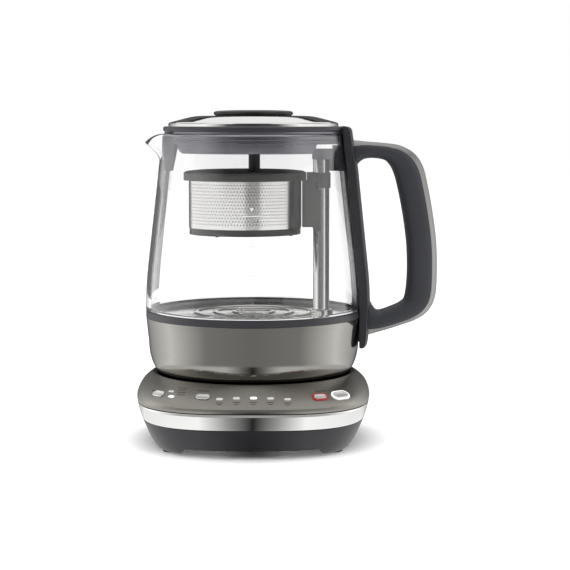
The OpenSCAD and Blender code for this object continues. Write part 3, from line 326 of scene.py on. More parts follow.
# %% [markdown]
# ## Round pieces
# Most of the jug is turned: an outline of radius and height, spun round an axis. A sharp corner
# never catches the light, so `eased` first turns each corner that has a radius into a short curve.

# %% Outlines and the spin
def eased(outline, steps=4):
    """(r, z) points from (r, z, radius) corners, each rounded by a short parabola"""
    points = []
    count = len(outline)
    for i, corner in enumerate(outline):
        here = Vector(corner[:2])
        radius = corner[2] if len(corner) > 2 else 0
        if radius == 0:
            points.append(here)
            continue
        before = Vector(outline[i - 1][:2]) - here
        after = Vector(outline[(i + 1) % count][:2]) - here
        start = here + before.normalized() * min(radius, 0.48 * before.length)
        end = here + after.normalized() * min(radius, 0.48 * after.length)
        for k in range(steps + 1):
            t = k / steps
            points.append(start * (1 - t) ** 2 + here * 2 * t * (1 - t) + end * t * t)
    return points


def spun(outline, steps=ROUND, angle=FULL, centre_x=0.0):
    """The outline turned round the z axis at centre_x, starting half the angle before +X"""
    bm = bmesh.new()
    row = [bm.verts.new((p[0], 0, p[1])) for p in outline]
    edges = [bm.edges.new(pair) for pair in zip(row, row[1:] + row[:1])]
    whole = abs(angle - FULL) < 1e-6
    if not whole:
        bmesh.ops.rotate(bm, verts=bm.verts, matrix=Matrix.Rotation(-angle / 2, 3, "Z"), cent=(0, 0, 0))
    bmesh.ops.spin(bm, geom=row + edges, axis=(0, 0, 1), cent=(0, 0, 0), angle=angle, steps=steps,
                   use_merge=whole)
    bmesh.ops.translate(bm, vec=(centre_x, 0, 0), verts=bm.verts)
    bmesh.ops.remove_doubles(bm, verts=bm.verts, dist=WELD)
    if not whole:
        bmesh.ops.holes_fill(bm, edges=[e for e in bm.edges if e.is_boundary], sides=0)
    return bm


# %% [markdown]
# ## Pieces that are not round
# The base, the glass with its spout and the handle are sheets bent in space. A flat grid is made, and
# each vertex moves to where the shape puts it, so that one function says the whole surface.

# %% The bent grid
def bent_grid(shape, across, along):
    """A grid whose vertices move to shape(u, v), with u and v from 0 to 1"""
    bm = bmesh.new()
    bmesh.ops.create_grid(bm, x_segments=across, y_segments=along, size=0.5)
    for v in bm.verts:
        v.co = shape(v.co.x + 0.5, v.co.y + 0.5)
    bmesh.ops.remove_doubles(bm, verts=bm.verts, dist=WELD)
    return bm


def ring_grid(rings, steps=ROUND, closed=True):
    """A skin through rings, each a function from an angle to a radius and a height; it closes or is capped"""
    rows = rings + [rings[0]] if closed else rings
    last = len(rows) - 1

    def shape(u, v):
        angle = u * FULL
        r, z = rows[round(v * last)](angle)
        return r * math.cos(angle), r * math.sin(angle), z

    bm = bent_grid(shape, steps, last)
    if not closed:
        bmesh.ops.holes_fill(bm, edges=[e for e in bm.edges if e.is_boundary], sides=0)
    return bm


# %% [markdown]
# ## The base's plan
# Seen from above the base is a rounded square, a superellipse of power 3. Its side draws in towards
# the feet, and its top falls from the jug's seat to the shoulder: flat at the front, where the
# controls are, and rounded at the sides. These are the CAD's own formulas.

# %% The base's formulas
shoulder_z = 36.0
panel_rise = 14.5
rim_r = 74.0
foot_z = 1.8
_, panel_high = box_of("control_panel")
half_w, half_back = panel_high.x, panel_high.y
half_front = -box_of("control_panel")[0].y
side_taper, front_taper = 12.5, 7.8


def plan_r(angle, taper_side, taper_front):
    half_d = (half_front if math.sin(angle) < 0 else half_back) - taper_front
    power = (abs(math.cos(angle)) / (half_w - taper_side)) ** 3 + (abs(math.sin(angle)) / half_d) ** 3
    return power ** (-1 / 3)


def side_r(angle, z):
    """The side's radius between the feet and the shoulder"""
    u = min(1.0, (z - foot_z) / (shoulder_z - foot_z))
    foot = plan_r(angle, side_taper, front_taper)
    return foot + (plan_r(angle, 0, 0) - foot) * (1 - (1 - u) ** 1.5)


def round_power(angle):
    return 2 - max(0.0, -math.sin(angle)) ** 3


def panel_r(angle, t):
    """The top's radius, t going from 0 at the shoulder to 1 at the jug's seat"""
    shoulder = plan_r(angle, 0, 0)
    return rim_r + (shoulder - rim_r) * (1 - t ** round_power(angle))


def panel_z(x, y):
    """The height of the panel above a place on the table"""
    angle = math.atan2(y, x)
    k = (math.hypot(x, y) - rim_r) / (plan_r(angle, 0, 0) - rim_r)
    return shoulder_z + panel_rise * (1 - min(1.0, max(0.0, k))) ** (1 / round_power(angle))


def panel_normal(x, y):
    d = 0.3
    fall_x, fall_y = panel_z(x - d, y) - panel_z(x + d, y), panel_z(x, y - d) - panel_z(x, y + d)
    return Vector((fall_x, fall_y, 2 * d)).normalized()


def side(z, inset=0.0):
    return lambda angle: (side_r(angle, z) - inset, z)


print("base is", round(2 * half_w, 1), "by", round(half_front + half_back, 1), "mm")

# %% [markdown]
# ## The lower housing
# A moulded cup of slate ABS that stands on its four corners. The arches between the corners are cut
# by slicing the mesh along the arches' edges and lifting what lies between them.

# %% The lower housing
band_low, band_high = (corner.z for corner in box_of("trim_band"))
arch_z = 6.0
arch_x, arch_y = (46.0, 51.0), (39.0, 44.0)     # where each arch is full, and where it ends
housing_floor_z = 8.5
band_wall = 1.5
cup_wall = 3.8


def arch_height(x, y):
    lift = max((ends[1] - abs(c)) / (ends[1] - ends[0]) for c, ends in ((x, arch_x), (y, arch_y)))
    return min(1.0, max(0.0, lift)) * arch_z


def lower_housing():
    rings = [side(1.2, 2.4), side(1.25, 1.6), side(1.6, 0.8), side(2.4, 0.3), side(3.6, 0.05),
             side(6.0), side(9.0), side(13.0), side(17.0), side(band_low - 0.5),
             side(band_low, 0.5), side(band_low, band_wall), side(band_high + 0.2, band_wall),
             side(band_high + 0.2, cup_wall), side(20.0, cup_wall), side(housing_floor_z, cup_wall)]
    bm = ring_grid(rings, closed=False)
    for axis, ends in ((Vector((1, 0, 0)), arch_x), (Vector((0, 1, 0)), arch_y)):
        for distance in (ends[0], ends[1], -ends[0], -ends[1]):
            bmesh.ops.bisect_plane(bm, geom=bm.verts[:] + bm.edges[:] + bm.faces[:], dist=0.001,
                                   plane_co=axis * distance, plane_no=axis)
    for v in bm.verts:
        v.co.z = max(v.co.z, arch_height(v.co.x, v.co.y))
    return finish(bm, "lower_housing", "power_base", "housing_plastic", housing_abs, ["base_housing"], 28)


lower_housing()

# %% [markdown]
# ## The polished band
# A strip of polished steel wraps the base. Its edges are rolled, so the profile is eased at the top
# and bottom, and it follows the side's own curve.

# %% The polished band
band_t = 1.4
band_edge = 0.45


def polished_band():
    z_steps = [band_low + band_edge + (band_high - band_low - 2 * band_edge) * k / 6 for k in range(7)]
    roll = 0.3 * band_edge
    rings = [side(band_low, band_t), side(band_low, band_edge), side(band_low + roll, roll)]
    rings += [side(z) for z in z_steps]
    rings += [side(band_high - roll, roll), side(band_high, band_edge), side(band_high, band_t)]
    bm = ring_grid(rings)
    return finish(bm, "polished_band", "power_base", "polished_steel", polished_steel, ["trim_band"], 60)


polished_band()

# %% [markdown]
# ## The controls' places
# A control lies in the sloping panel, so its own frame has +Z along the panel's normal and +X across
# it. A stadium, a bar with round ends, is a circle whose halves are pulled apart.

# %% Places, frames and stadiums
strength_at, strength_size = (-65.2, -64.4), (11.0, 5.6)
tea_type_at, tea_type_size = (-33.6, -80.4), (10.2, 5.6)
keep_warm_at, keep_warm_size = (47.1, -77.1), (9.4, 4.8)
start_at, start_size = (61.5, -68.4), (12.6, 6.2)
lens_pitch, lens_x0, lens_y = 11.7, 1.3, -83.4
lens_size = (4.8, 2.2)
row_lenses = [(lens_x0 + k * lens_pitch, lens_y) for k in range(-2, 3)]
strength_lenses = [(-56.3, -66.9), (-55.9, -73.1)]
# name, place and size; the last two have a light ring
buttons = (("strength_button", strength_at, strength_size), ("tea_type_button", tea_type_at, tea_type_size),
           ("keep_warm_button", keep_warm_at, keep_warm_size), ("start_button", start_at, start_size))
button_gap, ring_width = 0.25, 1.1
button_proud = 0.8


def panel_frame(x, y):
    """The turn and place of the panel's surface at x, y"""
    normal = panel_normal(x, y)
    across = Vector((-normal.y, normal.x, 0)).normalized()
    if across.x < 0:
        across = -across
    turn = Matrix((across, normal.cross(across), normal)).transposed().to_4x4()
    turn.translation = (x, y, panel_z(x, y))
    return turn


def join_rings(bm, low, high):
    """A wall between two rings whose vertices run the same way round; it can't cross the middle"""
    for k, v in enumerate(low):
        bm.faces.new((low[k - 1], v, high[k], high[k - 1]))


def stadium_rings(bm, length, width, rows, segments=40):
    """A stack of stadium outlines joined into a wall; rows are (height, inset)"""
    made = []
    for height, inset in rows:
        r = width / 2 - inset
        ring = bmesh.ops.create_circle(bm, cap_ends=False, radius=r, segments=segments)["verts"]
        ring = sorted(ring, key=lambda v: math.atan2(v.co.y, v.co.x))
        for v in ring:
            v.co.x += math.copysign((length - width) / 2, v.co.x) if abs(v.co.x) > 1e-6 else 0
            v.co.z = height
        made.append(ring)
    for low, high in zip(made, made[1:]):
        join_rings(bm, low, high)
    return made


def cap(bm, ring):
    bmesh.ops.contextual_create(bm, geom=ring)


def in_panel(bm, at):
    bmesh.ops.transform(bm, matrix=panel_frame(*at), verts=bm.verts)
    return bm


# %% [markdown]
# ## The control panel
# The panel is one smoked steel shell that falls from the jug's seat to a rolled lip above the band.
# The holes for buttons, lenses and light rings are cut with a Boolean, which is then applied. The cut
# breaks up the faces round each hole, so the true normals of the surface are set back on them.

# %% The control panel
dish_hole_r = 72.9
panel_t = 2.2
lip_z = band_high + 0.4
clear_gap = 0.1
curve_low_z, curve_high_z, curve_match = shoulder_z + 1.5, 48, 0.96     # what counts as the curved top


def top(t, drop=0.0, inset=0.0):
    return lambda angle: (panel_r(angle, t) - inset, shoulder_z + panel_rise * t - drop)


def hole_cutter():
    bm = bmesh.new()
    holes = [(at, size, button_gap, -8) for _, at, size in buttons]
    holes += [(at, size, button_gap + ring_width + clear_gap, -1.2) for _, at, size in buttons[2:]]
    holes += [(at, lens_size, clear_gap, -8) for at in row_lenses + strength_lenses]
    for at, size, gap, depth in holes:
        part = bmesh.new()
        rings = stadium_rings(part, size[0] + 2 * gap, size[1] + 2 * gap, [(depth, 0), (6, 0)])
        for ring in rings:
            cap(part, ring)
        bmesh.ops.recalc_face_normals(part, faces=part.faces)
        in_panel(part, at)
        bmesh.ops.scale(part, vec=(MM, MM, MM), verts=part.verts)
        pour(part, bm)
    return linked(bm, "hole_cutter")


def control_panel():
    ts = [1 - (1 - k / 14) ** 1.4 for k in range(15)]
    rings = [side(lip_z, 1.6), side(lip_z, 0.8), side(lip_z + 0.25, 0.25), side(lip_z + 0.8), side(34.6),
             side(35.5)] + [top(t) for t in ts[:-1]]
    rings += [top(1.0, 0.12), lambda a: (dish_hole_r + 0.25, shoulder_z + panel_rise - 0.25),
              lambda a: (dish_hole_r, shoulder_z + panel_rise - 0.8),
              lambda a: (dish_hole_r, shoulder_z + panel_rise - 3.2)]
    rings += [top(t, panel_t, 0.55 * panel_t) for t in (0.8, 0.6, 0.4, 0.2, 0.0)]
    rings += [side(lip_z, 3.3)]
    bm = ring_grid(rings)
    piece = finish(
        bm, "smoked_control_panel", "power_base", "smoked_metal", smoked_panel, ["control_panel"], 35)
    cutter = hole_cutter()
    cut = piece.modifiers.new("holes", "BOOLEAN")
    cut.object, cut.solver, cut.use_self = cutter, "EXACT", True
    solid = bpy.data.meshes.new_from_object(piece.evaluated_get(bpy.context.evaluated_depsgraph_get()))
    piece.modifiers.clear()
    piece.data = solid
    bpy.data.objects.remove(cutter)
    solid.polygons.foreach_set("use_smooth", [True] * len(solid.polygons))
    solid.set_sharp_from_angle(angle=math.radians(35))
    normals = [Vector((0, 0, 0))] * len(solid.loops)
    for face in solid.polygons:
        centre = face.center / MM
        if centre.z < curve_low_z or centre.z > curve_high_z:
            continue
        if face.normal.dot(panel_normal(centre.x, centre.y)) < curve_match:
            continue
        for loop in face.loop_indices:
            co = solid.vertices[solid.loops[loop].vertex_index].co / MM
            normals[loop] = panel_normal(co.x, co.y)
    solid.normals_split_custom_set(normals)
    print("panel", len(solid.polygons), "faces after the cut")
    return piece


control_panel()

# %% [markdown]
# ## Buttons, lenses and light rings
# Each button is a metallised cap with a raised rim round a slightly sunk face, and a stem that
# reaches down to its switch. The lenses are milky light guides flush with the panel. A light ring
# sits in a groove round the start and keep-warm buttons.

# %% The buttons
def press_button(name, at, size):
    rows = [(-3.2, -0.1), (-0.5, 0), (button_proud - 0.35, 0), (button_proud - 0.1, 0.12),
            (button_proud, 0.4), (button_proud, 0.75), (button_proud - 0.12, 0.95),
            (button_proud - 0.25, 1.2), (button_proud - 0.3, size[1] / 2 - 0.3)]
    bm = bmesh.new()
    rings = stadium_rings(bm, size[0], size[1], rows)
    cap(bm, rings[0])
    cap(bm, rings[-1])
    foot = stadium_rings(bm, size[0] + 1.6, size[1] + 1.6, [(-4.2, 0), (-3.25, 0)])
    pin = stadium_rings(bm, 4, 4, [(-9.2, 0), (-4.25, 0)], 24)
    for ring in foot + pin:
        cap(bm, ring)
    return finish(
        in_panel(bm, at), name + "_cap", name + "_body", "button_plastic", button_chrome, [name], 30)


for name, at, size in buttons:
    press_button(name, at, size)


# %% The lenses and the rings
def lens(number, at, material):
    bm = bmesh.new()
    rings = stadium_rings(bm, *lens_size, [(-4, 0), (0, 0), (0.1, 0.08), (0.16, 0.3)])
    cap(bm, rings[0])
    cap(bm, rings[-1])
    replaced = ["indicator_lenses"] if number == 0 else []
    return finish(in_panel(bm, at), f"lens_{number}", "power_base", "lens_plastic", material, replaced, 40)


def light_ring(name, at, size, slot, material):
    gap = 2 * button_gap
    bm = bmesh.new()
    length, width = size[0] + gap, size[1] + gap
    loops = [(-1.2, 0), (0.35, 0), (0.5, -0.15),
             (0.5, -ring_width + 0.15), (0.35, -ring_width), (-1.2, -ring_width)]
    rings = stadium_rings(bm, length, width, loops)
    join_rings(bm, rings[-1], rings[0])
    return finish(in_panel(bm, at), name + "_glow", "power_base", slot, material, [name], 50)


lit = (2, 6)
for number, at in enumerate(row_lenses + strength_lenses):
    lens(number, at, lens_on if number in lit else lens_off)
light_ring("start_light_ring", start_at, start_size, "white_light", white_ring)
light_ring("keep_warm_light_ring", keep_warm_at, keep_warm_size, "red_light", red_ring)

# %% [markdown]
# ## Printed marks on the panel
# Beside each control the panel carries a plain bar, and under the row of lights two short bars each,
# as generic marks. A mark is a thin film that follows the panel's surface.

# %% The marks on the panel
ink_t = 0.05


def bar(bm, centre, length, width):
    """A thin bar on the panel, along the panel's own across line"""
    part = bmesh.new()
    rings = stadium_rings(part, length, width, [(0.0, 0), (ink_t, 0)], 12)
    for ring in rings:
        cap(part, ring)
    pour(in_panel(part, centre), bm)


def panel_marks():
    bm = bmesh.new()
    bar(bm, (-67.9, -58.3), 9.0, 0.7)
    bar(bm, (-33.6, -74.6), 9.0, 0.7)
    bar(bm, (47.6, -70.6), 8.0, 0.7)
    bar(bm, (59.7, -61.9), 7.0, 0.7)
    for k in range(4):
        bar(bm, (-48.6 - 0.2 * k, -66.4 - 2.6 * k), 7.5 - 1.1 * (k % 2), 0.6)
    for x, y in row_lenses:
        bar(bm, (x, y - 3.0), 5.4, 0.6)
        bar(bm, (x, y - 4.4), 3.6, 0.6)
    return finish(bm, "panel_marks", "power_base", "lens_plastic", panel_ink, smooth=40)


panel_marks()

# %% [markdown]
# ## The jug's glass
# The glass is blown into a mould: upright at the foot, bending into a cone, with a spout drawn out of
# the rim. The rim is fire polished, so its edge is a half round. The spout is a smooth bulge that
# grows ever faster towards the rim, and the rim dips in a soft curve where the spout's lip reaches out.

# %% The glass
glass_foot_r, glass_wall = 78.6, 3.0
glass_taper, bend_z, bend_h = 0.116, 98.0, 30.0
rim_top_z = 223.0
spout_start_z, spout_half = 203.5, 27.0
spout_pull, spout_power = 0.257, 1.5
lip_start_x = -67.5     # where the rim starts to dip
lip_fall, lip_power = 0.13, 1.55
collar_z = 90.3
glass_low_z = collar_z + 2.1
foot_rebate = 1.4


def glass_r(z):
    if z < bend_z:
        return glass_foot_r
    if z < bend_z + bend_h:
        return glass_foot_r - glass_taper * (z - bend_z) ** 2 / (2 * bend_h)
    return glass_foot_r - glass_taper * (z - bend_z - bend_h / 2)


def spout_reach(z):
    return spout_pull * max(0.0, z - spout_start_z) ** spout_power


def bulge(angle):
    off = abs(math.degrees(angle) % 360 - 180) / spout_half
    return 0.0 if off >= 1 else (0.5 + 0.5 * math.cos(math.pi * off)) ** 1.3


def lip_height(angle):
    """The height of the rim at that angle, lower where the spout reaches out"""
    z = rim_top_z
    for _ in range(20):
        x = (glass_r(z) + spout_reach(z) * bulge(angle)) * math.cos(angle)
        z = 0.5 * z + 0.5 * (rim_top_z - lip_fall * max(0.0, lip_start_x - x) ** lip_power)
    return z


def glass_ring(z, inset, rebate=0.0):
    """A ring of the glass; above the spout's root its height is a share of the way to the lip"""
    def ring(angle):
        height = z
        if z > spout_start_z:
            share = (z - spout_start_z) / (rim_top_z - spout_start_z)
            height = spout_start_z + share * (lip_height(angle) - spout_start_z)
        return glass_r(height) - inset - rebate + spout_reach(height) * bulge(angle), height
    return ring


def blown_glass():
    wall_zs = [96.2, 98, 101, 104, 108, 112, 116, 120, 124, 128, 140, 155, 170, 185, 195, 200, 202,
               203.5, 204.5, 205.5, 206.5, 207.5, 209, 211, 213, 215, 217, 219, 220.5, 221.5]
    rim = [(rim_top_z - 0.75, 0.18), (rim_top_z - 0.25, 0.65), (rim_top_z, 1.5), (rim_top_z - 0.25, 2.35),
           (rim_top_z - 0.75, 2.82)]
    rings = [glass_ring(glass_low_z, 0, foot_rebate), glass_ring(95.5, 0, foot_rebate)]
    rings += [glass_ring(95.65, 0.3)]
    rings += [glass_ring(z, 0) for z in wall_zs]
    rings += [glass_ring(z, inset) for z, inset in rim]
    rings += [glass_ring(z, glass_wall) for z in reversed(wall_zs)]
    rings += [glass_ring(glass_low_z, glass_wall)]
    bm = ring_grid(rings, steps=240)
    return finish(bm, "blown_glass", "jug", "jug_glass", jug_glass, ["glass_body"], 60)


blown_glass()

# %% [markdown]
# ## The shell, the collar and the floor of the jug
# Below the glass the jug is a drawn steel shell with a smoked coat. It is nearly upright at the top and
# curves under to the seat. A moulded slate collar joins it to the glass.

# %% The jug's lower shell
shell_knee_z, shell_core_r = 72.0, 60.0
shell_low_z = 45.4
shell_depth = 27.0
shell_knee_r, shell_top_r = glass_foot_r - 2, glass_foot_r - 0.1
shell_wall = 1.0


def shell_r(z):
    if z >= shell_knee_z:
        return shell_knee_r + (shell_top_r - shell_knee_r) * (z - shell_knee_z) / (collar_z - shell_knee_z)
    reach = math.sqrt(max(0.0, 1 - ((shell_knee_z - z) / shell_depth) ** 2))
    return shell_core_r + (shell_knee_r - shell_core_r) * reach


def jug_shell():
    lean = [78, 74, 70, 66, 62, 57, 52, 46, 40, 34, 28, 22, 16, 11, 6, 2]
    zs = [shell_low_z] + [shell_knee_z - shell_depth * math.sin(math.radians(a)) for a in lean]
    zs = [z for z in zs if z >= shell_low_z] + [73.5, 76, 80, 85, collar_z - 0.3]
    outside = [(shell_r(z), z) for z in zs] + [(shell_r(collar_z) - 0.15, collar_z)]
    inside = [(shell_r(z) - shell_wall, z) for z in reversed(zs)]
    bm = spun(outside + inside)
    return finish(bm, "drawn_shell", "jug", "smoked_metal", smoked_shell, ["jug_shell"], 40)


jug_shell()


# %% The collar
def collar():
    top_z = 95.6
    outline = eased([(77.3, top_z - 0.1, 0.2), (78.3, top_z, 0.5), (78.6, top_z - 0.8, 0.3),
                     (78.6, collar_z + 0.4, 0.3), (78.2, collar_z, 0.2), (75.6, collar_z),
                     (75.6, collar_z + 0.9), (77.3, collar_z + 0.9)])
    return finish(spun(outline), "slate_collar", "jug", "slate_plastic", slate_abs, ["glass_collar"], 50)


collar()

# %% [markdown]
# The floor inside the jug is a steel dish with pressed rings that stiffen it. Its outer ring slopes up
# to a rolled wall, and so it reflects another part of the room than the flat middle does.

# %% The jug's floor
def jug_floor():
    low, high = box_of("floor_plate")
    edge_r, top_z = high.x, low.z + 1.5
    outline = [(0.0, low.z), (edge_r, low.z), (edge_r, low.z + 3.2, 0.4), (edge_r - 1, low.z + 3.2, 0.4),
               (66, top_z, 2)]
    for r in (44, 30, 16):
        outline += [(r, top_z, 1.2), (r - 1, top_z + 0.7, 1), (r - 3.5, top_z + 0.7, 1),
                    (r - 4.5, top_z, 1.2)]
    outline = eased(outline + [(0.0, top_z)])
    return finish(spun(outline), "turned_floor", "jug", "brushed_steel", floor_steel, ["floor_plate"], 60)


jug_floor()

# %% [markdown]
# ## CAD pieces that keep their shape
# Where a node's shape is right, a copy of it is merged into one skin, its flat facets are joined
# again, and its edges get a small bevel, as every moulded or stamped edge has. The rest of the nodes
# lie inside and keep their own mesh with a new finish.

# %% Refined copies of CAD nodes
def refined(node, body, slot, material, bevel):
    """A merged, lightly bevelled copy of a CAD node that stands for it"""
    bm = bmesh.new()
    bm.from_mesh(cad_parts[node].data)
    bmesh.ops.scale(bm, vec=(1 / MM,) * 3, verts=bm.verts)
    bmesh.ops.remove_doubles(bm, verts=bm.verts, dist=WELD)
    bmesh.ops.dissolve_limit(bm, angle_limit=math.radians(1.0), verts=bm.verts, edges=bm.edges)
    piece = finish(bm, node + "_skin", body, slot, material, [node], 32, turn_out=False)
    round_edges(piece, bevel, 2, 40)
    return piece


for node, slot, material, bevel in (
        ("seat_dish", "black_plastic", black_nylon, 0.3),
        ("rubber_feet", "foot_rubber", foot_rubber, 0.4),
        ("cord_gland", "foot_rubber", foot_rubber, 0.3)):
    refined(node, "power_base", slot, material, bevel)
for node, slot, material, bevel in (
        ("neck_bracket", "black_plastic", black_nylon, 0.5),
        ("post_cap", "smoke_plastic", cap_clear, 0.4),
        ("jug_bottom_cover", "black_plastic", black_nylon, 0.3)):
    refined(node, "jug", slot, material, bevel)
refined("carriage_frame", "carriage", "olive_plastic", olive_pp, 0.4)
refined("spout_guard", "jug_lid", "smoke_plastic", guard_clear, 0.3)


# %% The lift post
def post():
    low, high = box_of("lift_post")
    centre_x, r = (low.x + high.x) / 2, 6.0
    wall, foot_r, foot_h = 1.0, 8.5, 2.0
    outline = eased([(r - wall, low.z), (foot_r, low.z), (foot_r, low.z + foot_h, 0.6),
                     (r + 0.4, low.z + foot_h, 0.4), (r, low.z + foot_h + 0.6),
                     (r, high.z, 0.3), (r - wall, high.z)])
    return finish(spun(outline, 64, centre_x=centre_x), "post_tube", "jug", "brushed_steel", satin_steel,
                  ["lift_post"], 50)


post()

# %% [markdown]
# ## The handle
# The grip is a loft: rounded cross-sections along the handle's curve. Each section's outer fifth is a
# separate lighter metallic strip, a painted highlight along the grip's rounded outer edge. Eighteen stations,
# set from edges measured on a photograph, are blended with a Catmull-Rom curve into a smooth line. The spine
# is turned about the jug's own axis.

# %% The handle's sections
grip_half_w = 12.5
grip_power = 2.6
trim_share = 0.2
spine_low_z = box_of("handle_spine")[0].z
handle_low_z = 65.5
# outer x, outer z, inner x, inner z: beyond the glass's foot and above handle_low_z
handle_outline = [
    (-9.8, 153.2, -8.6, 128.0), (-0.8, 152.3, -1.2, 137.4), (5.4, 151.7, 5.4, 139.9),
    (16.4, 150.8, 15.4, 138.9), (27.8, 149.0, 20.0, 135.3), (37.9, 143.5, 23.2, 129.0),
    (44.2, 134.5, 25.6, 120.5), (47.8, 121.5, 28.0, 109.5), (51.8, 100.5, 30.8, 93.5),
    (54.6, 78.5, 32.9, 75.5), (55.2, 55.5, 33.3, 55.5), (54.0, 39.1, 31.6, 39.5), (49.0, 28.8, 28.0, 35.0),
    (40.4, 22.4, 21.9, 32.1), (27.6, 17.7, 15.4, 29.7), (16.4, 14.2, 11.4, 29.3), (9.4, 12.2, 8.6, 32.2),
    (0.6, 9.6, 4.4, 40.0)]
trim_angle = math.acos((1 - 2 * trim_share) ** (grip_power / 2))


def blended(points, place_at):
    """A point on the smooth curve through points; place_at goes from 0 to 1"""
    last = len(points) - 1
    where = place_at * last
    i = min(int(where), last - 1)
    t = where - i
    a, b, c, d = (Vector(points[min(max(k, 0), last)]) for k in (i - 1, i, i + 1, i + 2))
    square, cube = 2 * a - 5 * b + 4 * c - d, 3 * b - a - 3 * c + d
    return 0.5 * (2 * b + (c - a) * t + square * t ** 2 + cube * t ** 3)


def section_point(station, angle):
    """A point of a section, angle measured from the outer side"""
    outer = Vector((glass_foot_r + station[0], handle_low_z + station[1]))
    inner = Vector((glass_foot_r + station[2], handle_low_z + station[3]))
    u = math.copysign(abs(math.cos(angle)) ** (2 / grip_power), math.cos(angle))
    v = math.copysign(abs(math.sin(angle)) ** (2 / grip_power), math.sin(angle))
    middle = (outer + inner) / 2 + u * (outer - inner) / 2
    return middle.x, -v * grip_half_w, middle.y


loft_share = 0.94   # how much of the loft's width is skin; the rest is the closing face


def handle_loft(start, end):
    """The part of every section from one angle to another, closed by a flat face"""
    def shape(u, v):
        station = blended([Vector(p) for p in handle_outline], v)
        if u >= 1 - 1e-6:
            u = 0.0
        if u <= loft_share:
            return section_point(station, start + (end - start) * u / loft_share)
        first, last = (Vector(section_point(station, angle)) for angle in (start, end))
        return last.lerp(first, (u - loft_share) / (1 - loft_share))

    bm = bent_grid(shape, 50, 120)
    bmesh.ops.holes_fill(bm, edges=[e for e in bm.edges if e.is_boundary], sides=0)
    return bm


finish(handle_loft(trim_angle + 0.02, FULL - trim_angle - 0.02), "soft_grip", "jug", "grip_plastic", grip_tpe,
       ["handle_grip"], 40)
# painted highlight: the lighter strip stands in for the highlight along the grip's rounded outer edge
finish(handle_loft(-trim_angle, trim_angle), "handle_strip", "jug", "smoked_metal", highlight_strip_metal,
       ["handle_trim"], 40)


# %% The spine
spine_half_angle = 14.5
spine_t = 6.8
spine_gap = 0.3
lid_edge_r = box_of("lid_rim")[1].x


def spine():
    def skin(z):
        return (glass_r(z) if z > 95.6 else glass_foot_r) + spine_gap

    bends = [98, 104, 110, 116, 122, 128]
    top_z = rim_top_z + 5.6
    foot_in, foot_out = skin(0), skin(0) + spine_t
    outline = eased(
        [(foot_in, spine_low_z, 1.2), (foot_in, 97)] + [(skin(z), z) for z in bends]
        + [(skin(222), 222, 0.5), (lid_edge_r + 0.8, rim_top_z + 0.4, 0.5), (lid_edge_r + 0.8, top_z, 0.8),
           (lid_edge_r + 4.6, top_z - 0.8, 1.6), (lid_edge_r + 6.2, top_z - 2.6, 1.2),
           (skin(rim_top_z) + spine_t - 0.4, rim_top_z - 4, 3), (skin(199.5) + spine_t + 0.2, 199.5, 6)]
        + [(skin(z) + spine_t - 0.6, z) for z in reversed(bends)]
        + [(foot_out - 1.2, 84, 4), (foot_out - 1.6, 76.5, 3), (foot_out - 2.4, 71, 2),
           (foot_out - 3.4, spine_low_z, 1.2)])
    bm = spun(outline, 24, math.radians(2 * spine_half_angle))
    piece = finish(bm, "slate_spine", "jug", "slate_plastic", slate_abs, ["handle_spine"], 40)
    round_edges(piece, 1.1, 3, 55)
    return piece


spine()

# %% [markdown]
# ## The jug's lid
# A polished steel dome sits in a moulded slate rim, with a flat black knob on top. All three are
# turned. The dome's fall is a straight cone between two soft bends, which is what makes the broad
# bands of its reflection.

# %% The lid's rim, dome and knob
dome_low, dome_high = box_of("lid_plate")
rim_low, rim_high = box_of("lid_rim")
knob_high = box_of("lid_knob")[1]


def lid_rim():
    rest_z, top_z, deck_z = rim_low.z, rim_high.z, rim_low.z + 1.0
    inner_r = 57.2
    edge_r, dome_r = rim_high.x, dome_high.x
    outline = eased([(0.0, deck_z), (inner_r, deck_z, 0.3), (inner_r, rest_z, 0.3),
                     (edge_r - 0.7, rest_z, 0.4), (edge_r, rest_z + 0.8, 0.7), (edge_r, top_z - 0.9, 0.7),
                     (edge_r - 0.9, top_z, 0.7), (dome_r - 2, top_z), (dome_r - 2, deck_z + 1.8),
                     (0.0, deck_z + 1.8)])
    return finish(spun(outline), "slate_lid_rim", "jug_lid", "slate_plastic", slate_abs, ["lid_rim"], 50)


def lid_dome():
    base_z, top_z, r = dome_low.z, dome_high.z, dome_high.x
    outline = eased([(r, base_z), (r, base_z + 2.1, 0.7), (r - 1.1, base_z + 2.9, 0.6),
                     (0.745 * r, top_z - 1.0, 3.5), (0.66 * r, top_z - 0.2, 3.5), (0.5 * r, top_z, 3),
                     (0.0, top_z), (0.0, top_z - 0.9), (0.5 * r, top_z - 0.9), (0.66 * r, top_z - 1.2, 2),
                     (0.745 * r, top_z - 2.0, 2),
                     (r - 1.8, base_z + 1.4, 0.5), (r - 0.9, base_z)], 5)
    return finish(spun(outline), "steel_dome", "jug_lid", "polished_steel", polished_steel, ["lid_plate"], 50)


def knob():
    base_z, top_z, r = dome_high.z + 0.02, knob_high.z, knob_high.x
    outline = eased([(0.0, base_z), (r - 1.4, base_z, 0.4), (r, base_z + 1.0, 0.6), (r, top_z - 1.9, 0.8),
                     (r - 0.9, top_z - 0.9, 0.8), (r - 3.5, top_z - 0.45, 2), (0.5 * r, top_z, 6),
                     (0.0, top_z)])
    return finish(spun(outline), "flat_knob", "jug_lid", "knob_plastic", knob_plastic, ["lid_knob"], 50)


lid_rim()
lid_dome()
knob()

# %% [markdown]
# Below the lid hangs a smoked ring with a ribbed, smoked seal round it. Both are open at the spout.

# %% The skirt and the seal
ring_open = 29.0    # degrees on each side of the spout that stay open
handle_open = 43    # degrees on each side of the handle where the skirt ends high, at notch_z
notch_z = 215.5
spout_ramp, handle_ramp, ramp_power = 7, 3, 0.6     # how its lower edge then comes down, in degrees
skirt_low = box_of("lid_skirt")[0]
seal_low, seal_high = box_of("lid_seal")
rim_in_r = glass_r(rim_top_z) - glass_wall
skirt_r, skirt_t = rim_in_r - 2.4, 2.2
seal_r = rim_in_r - 0.35


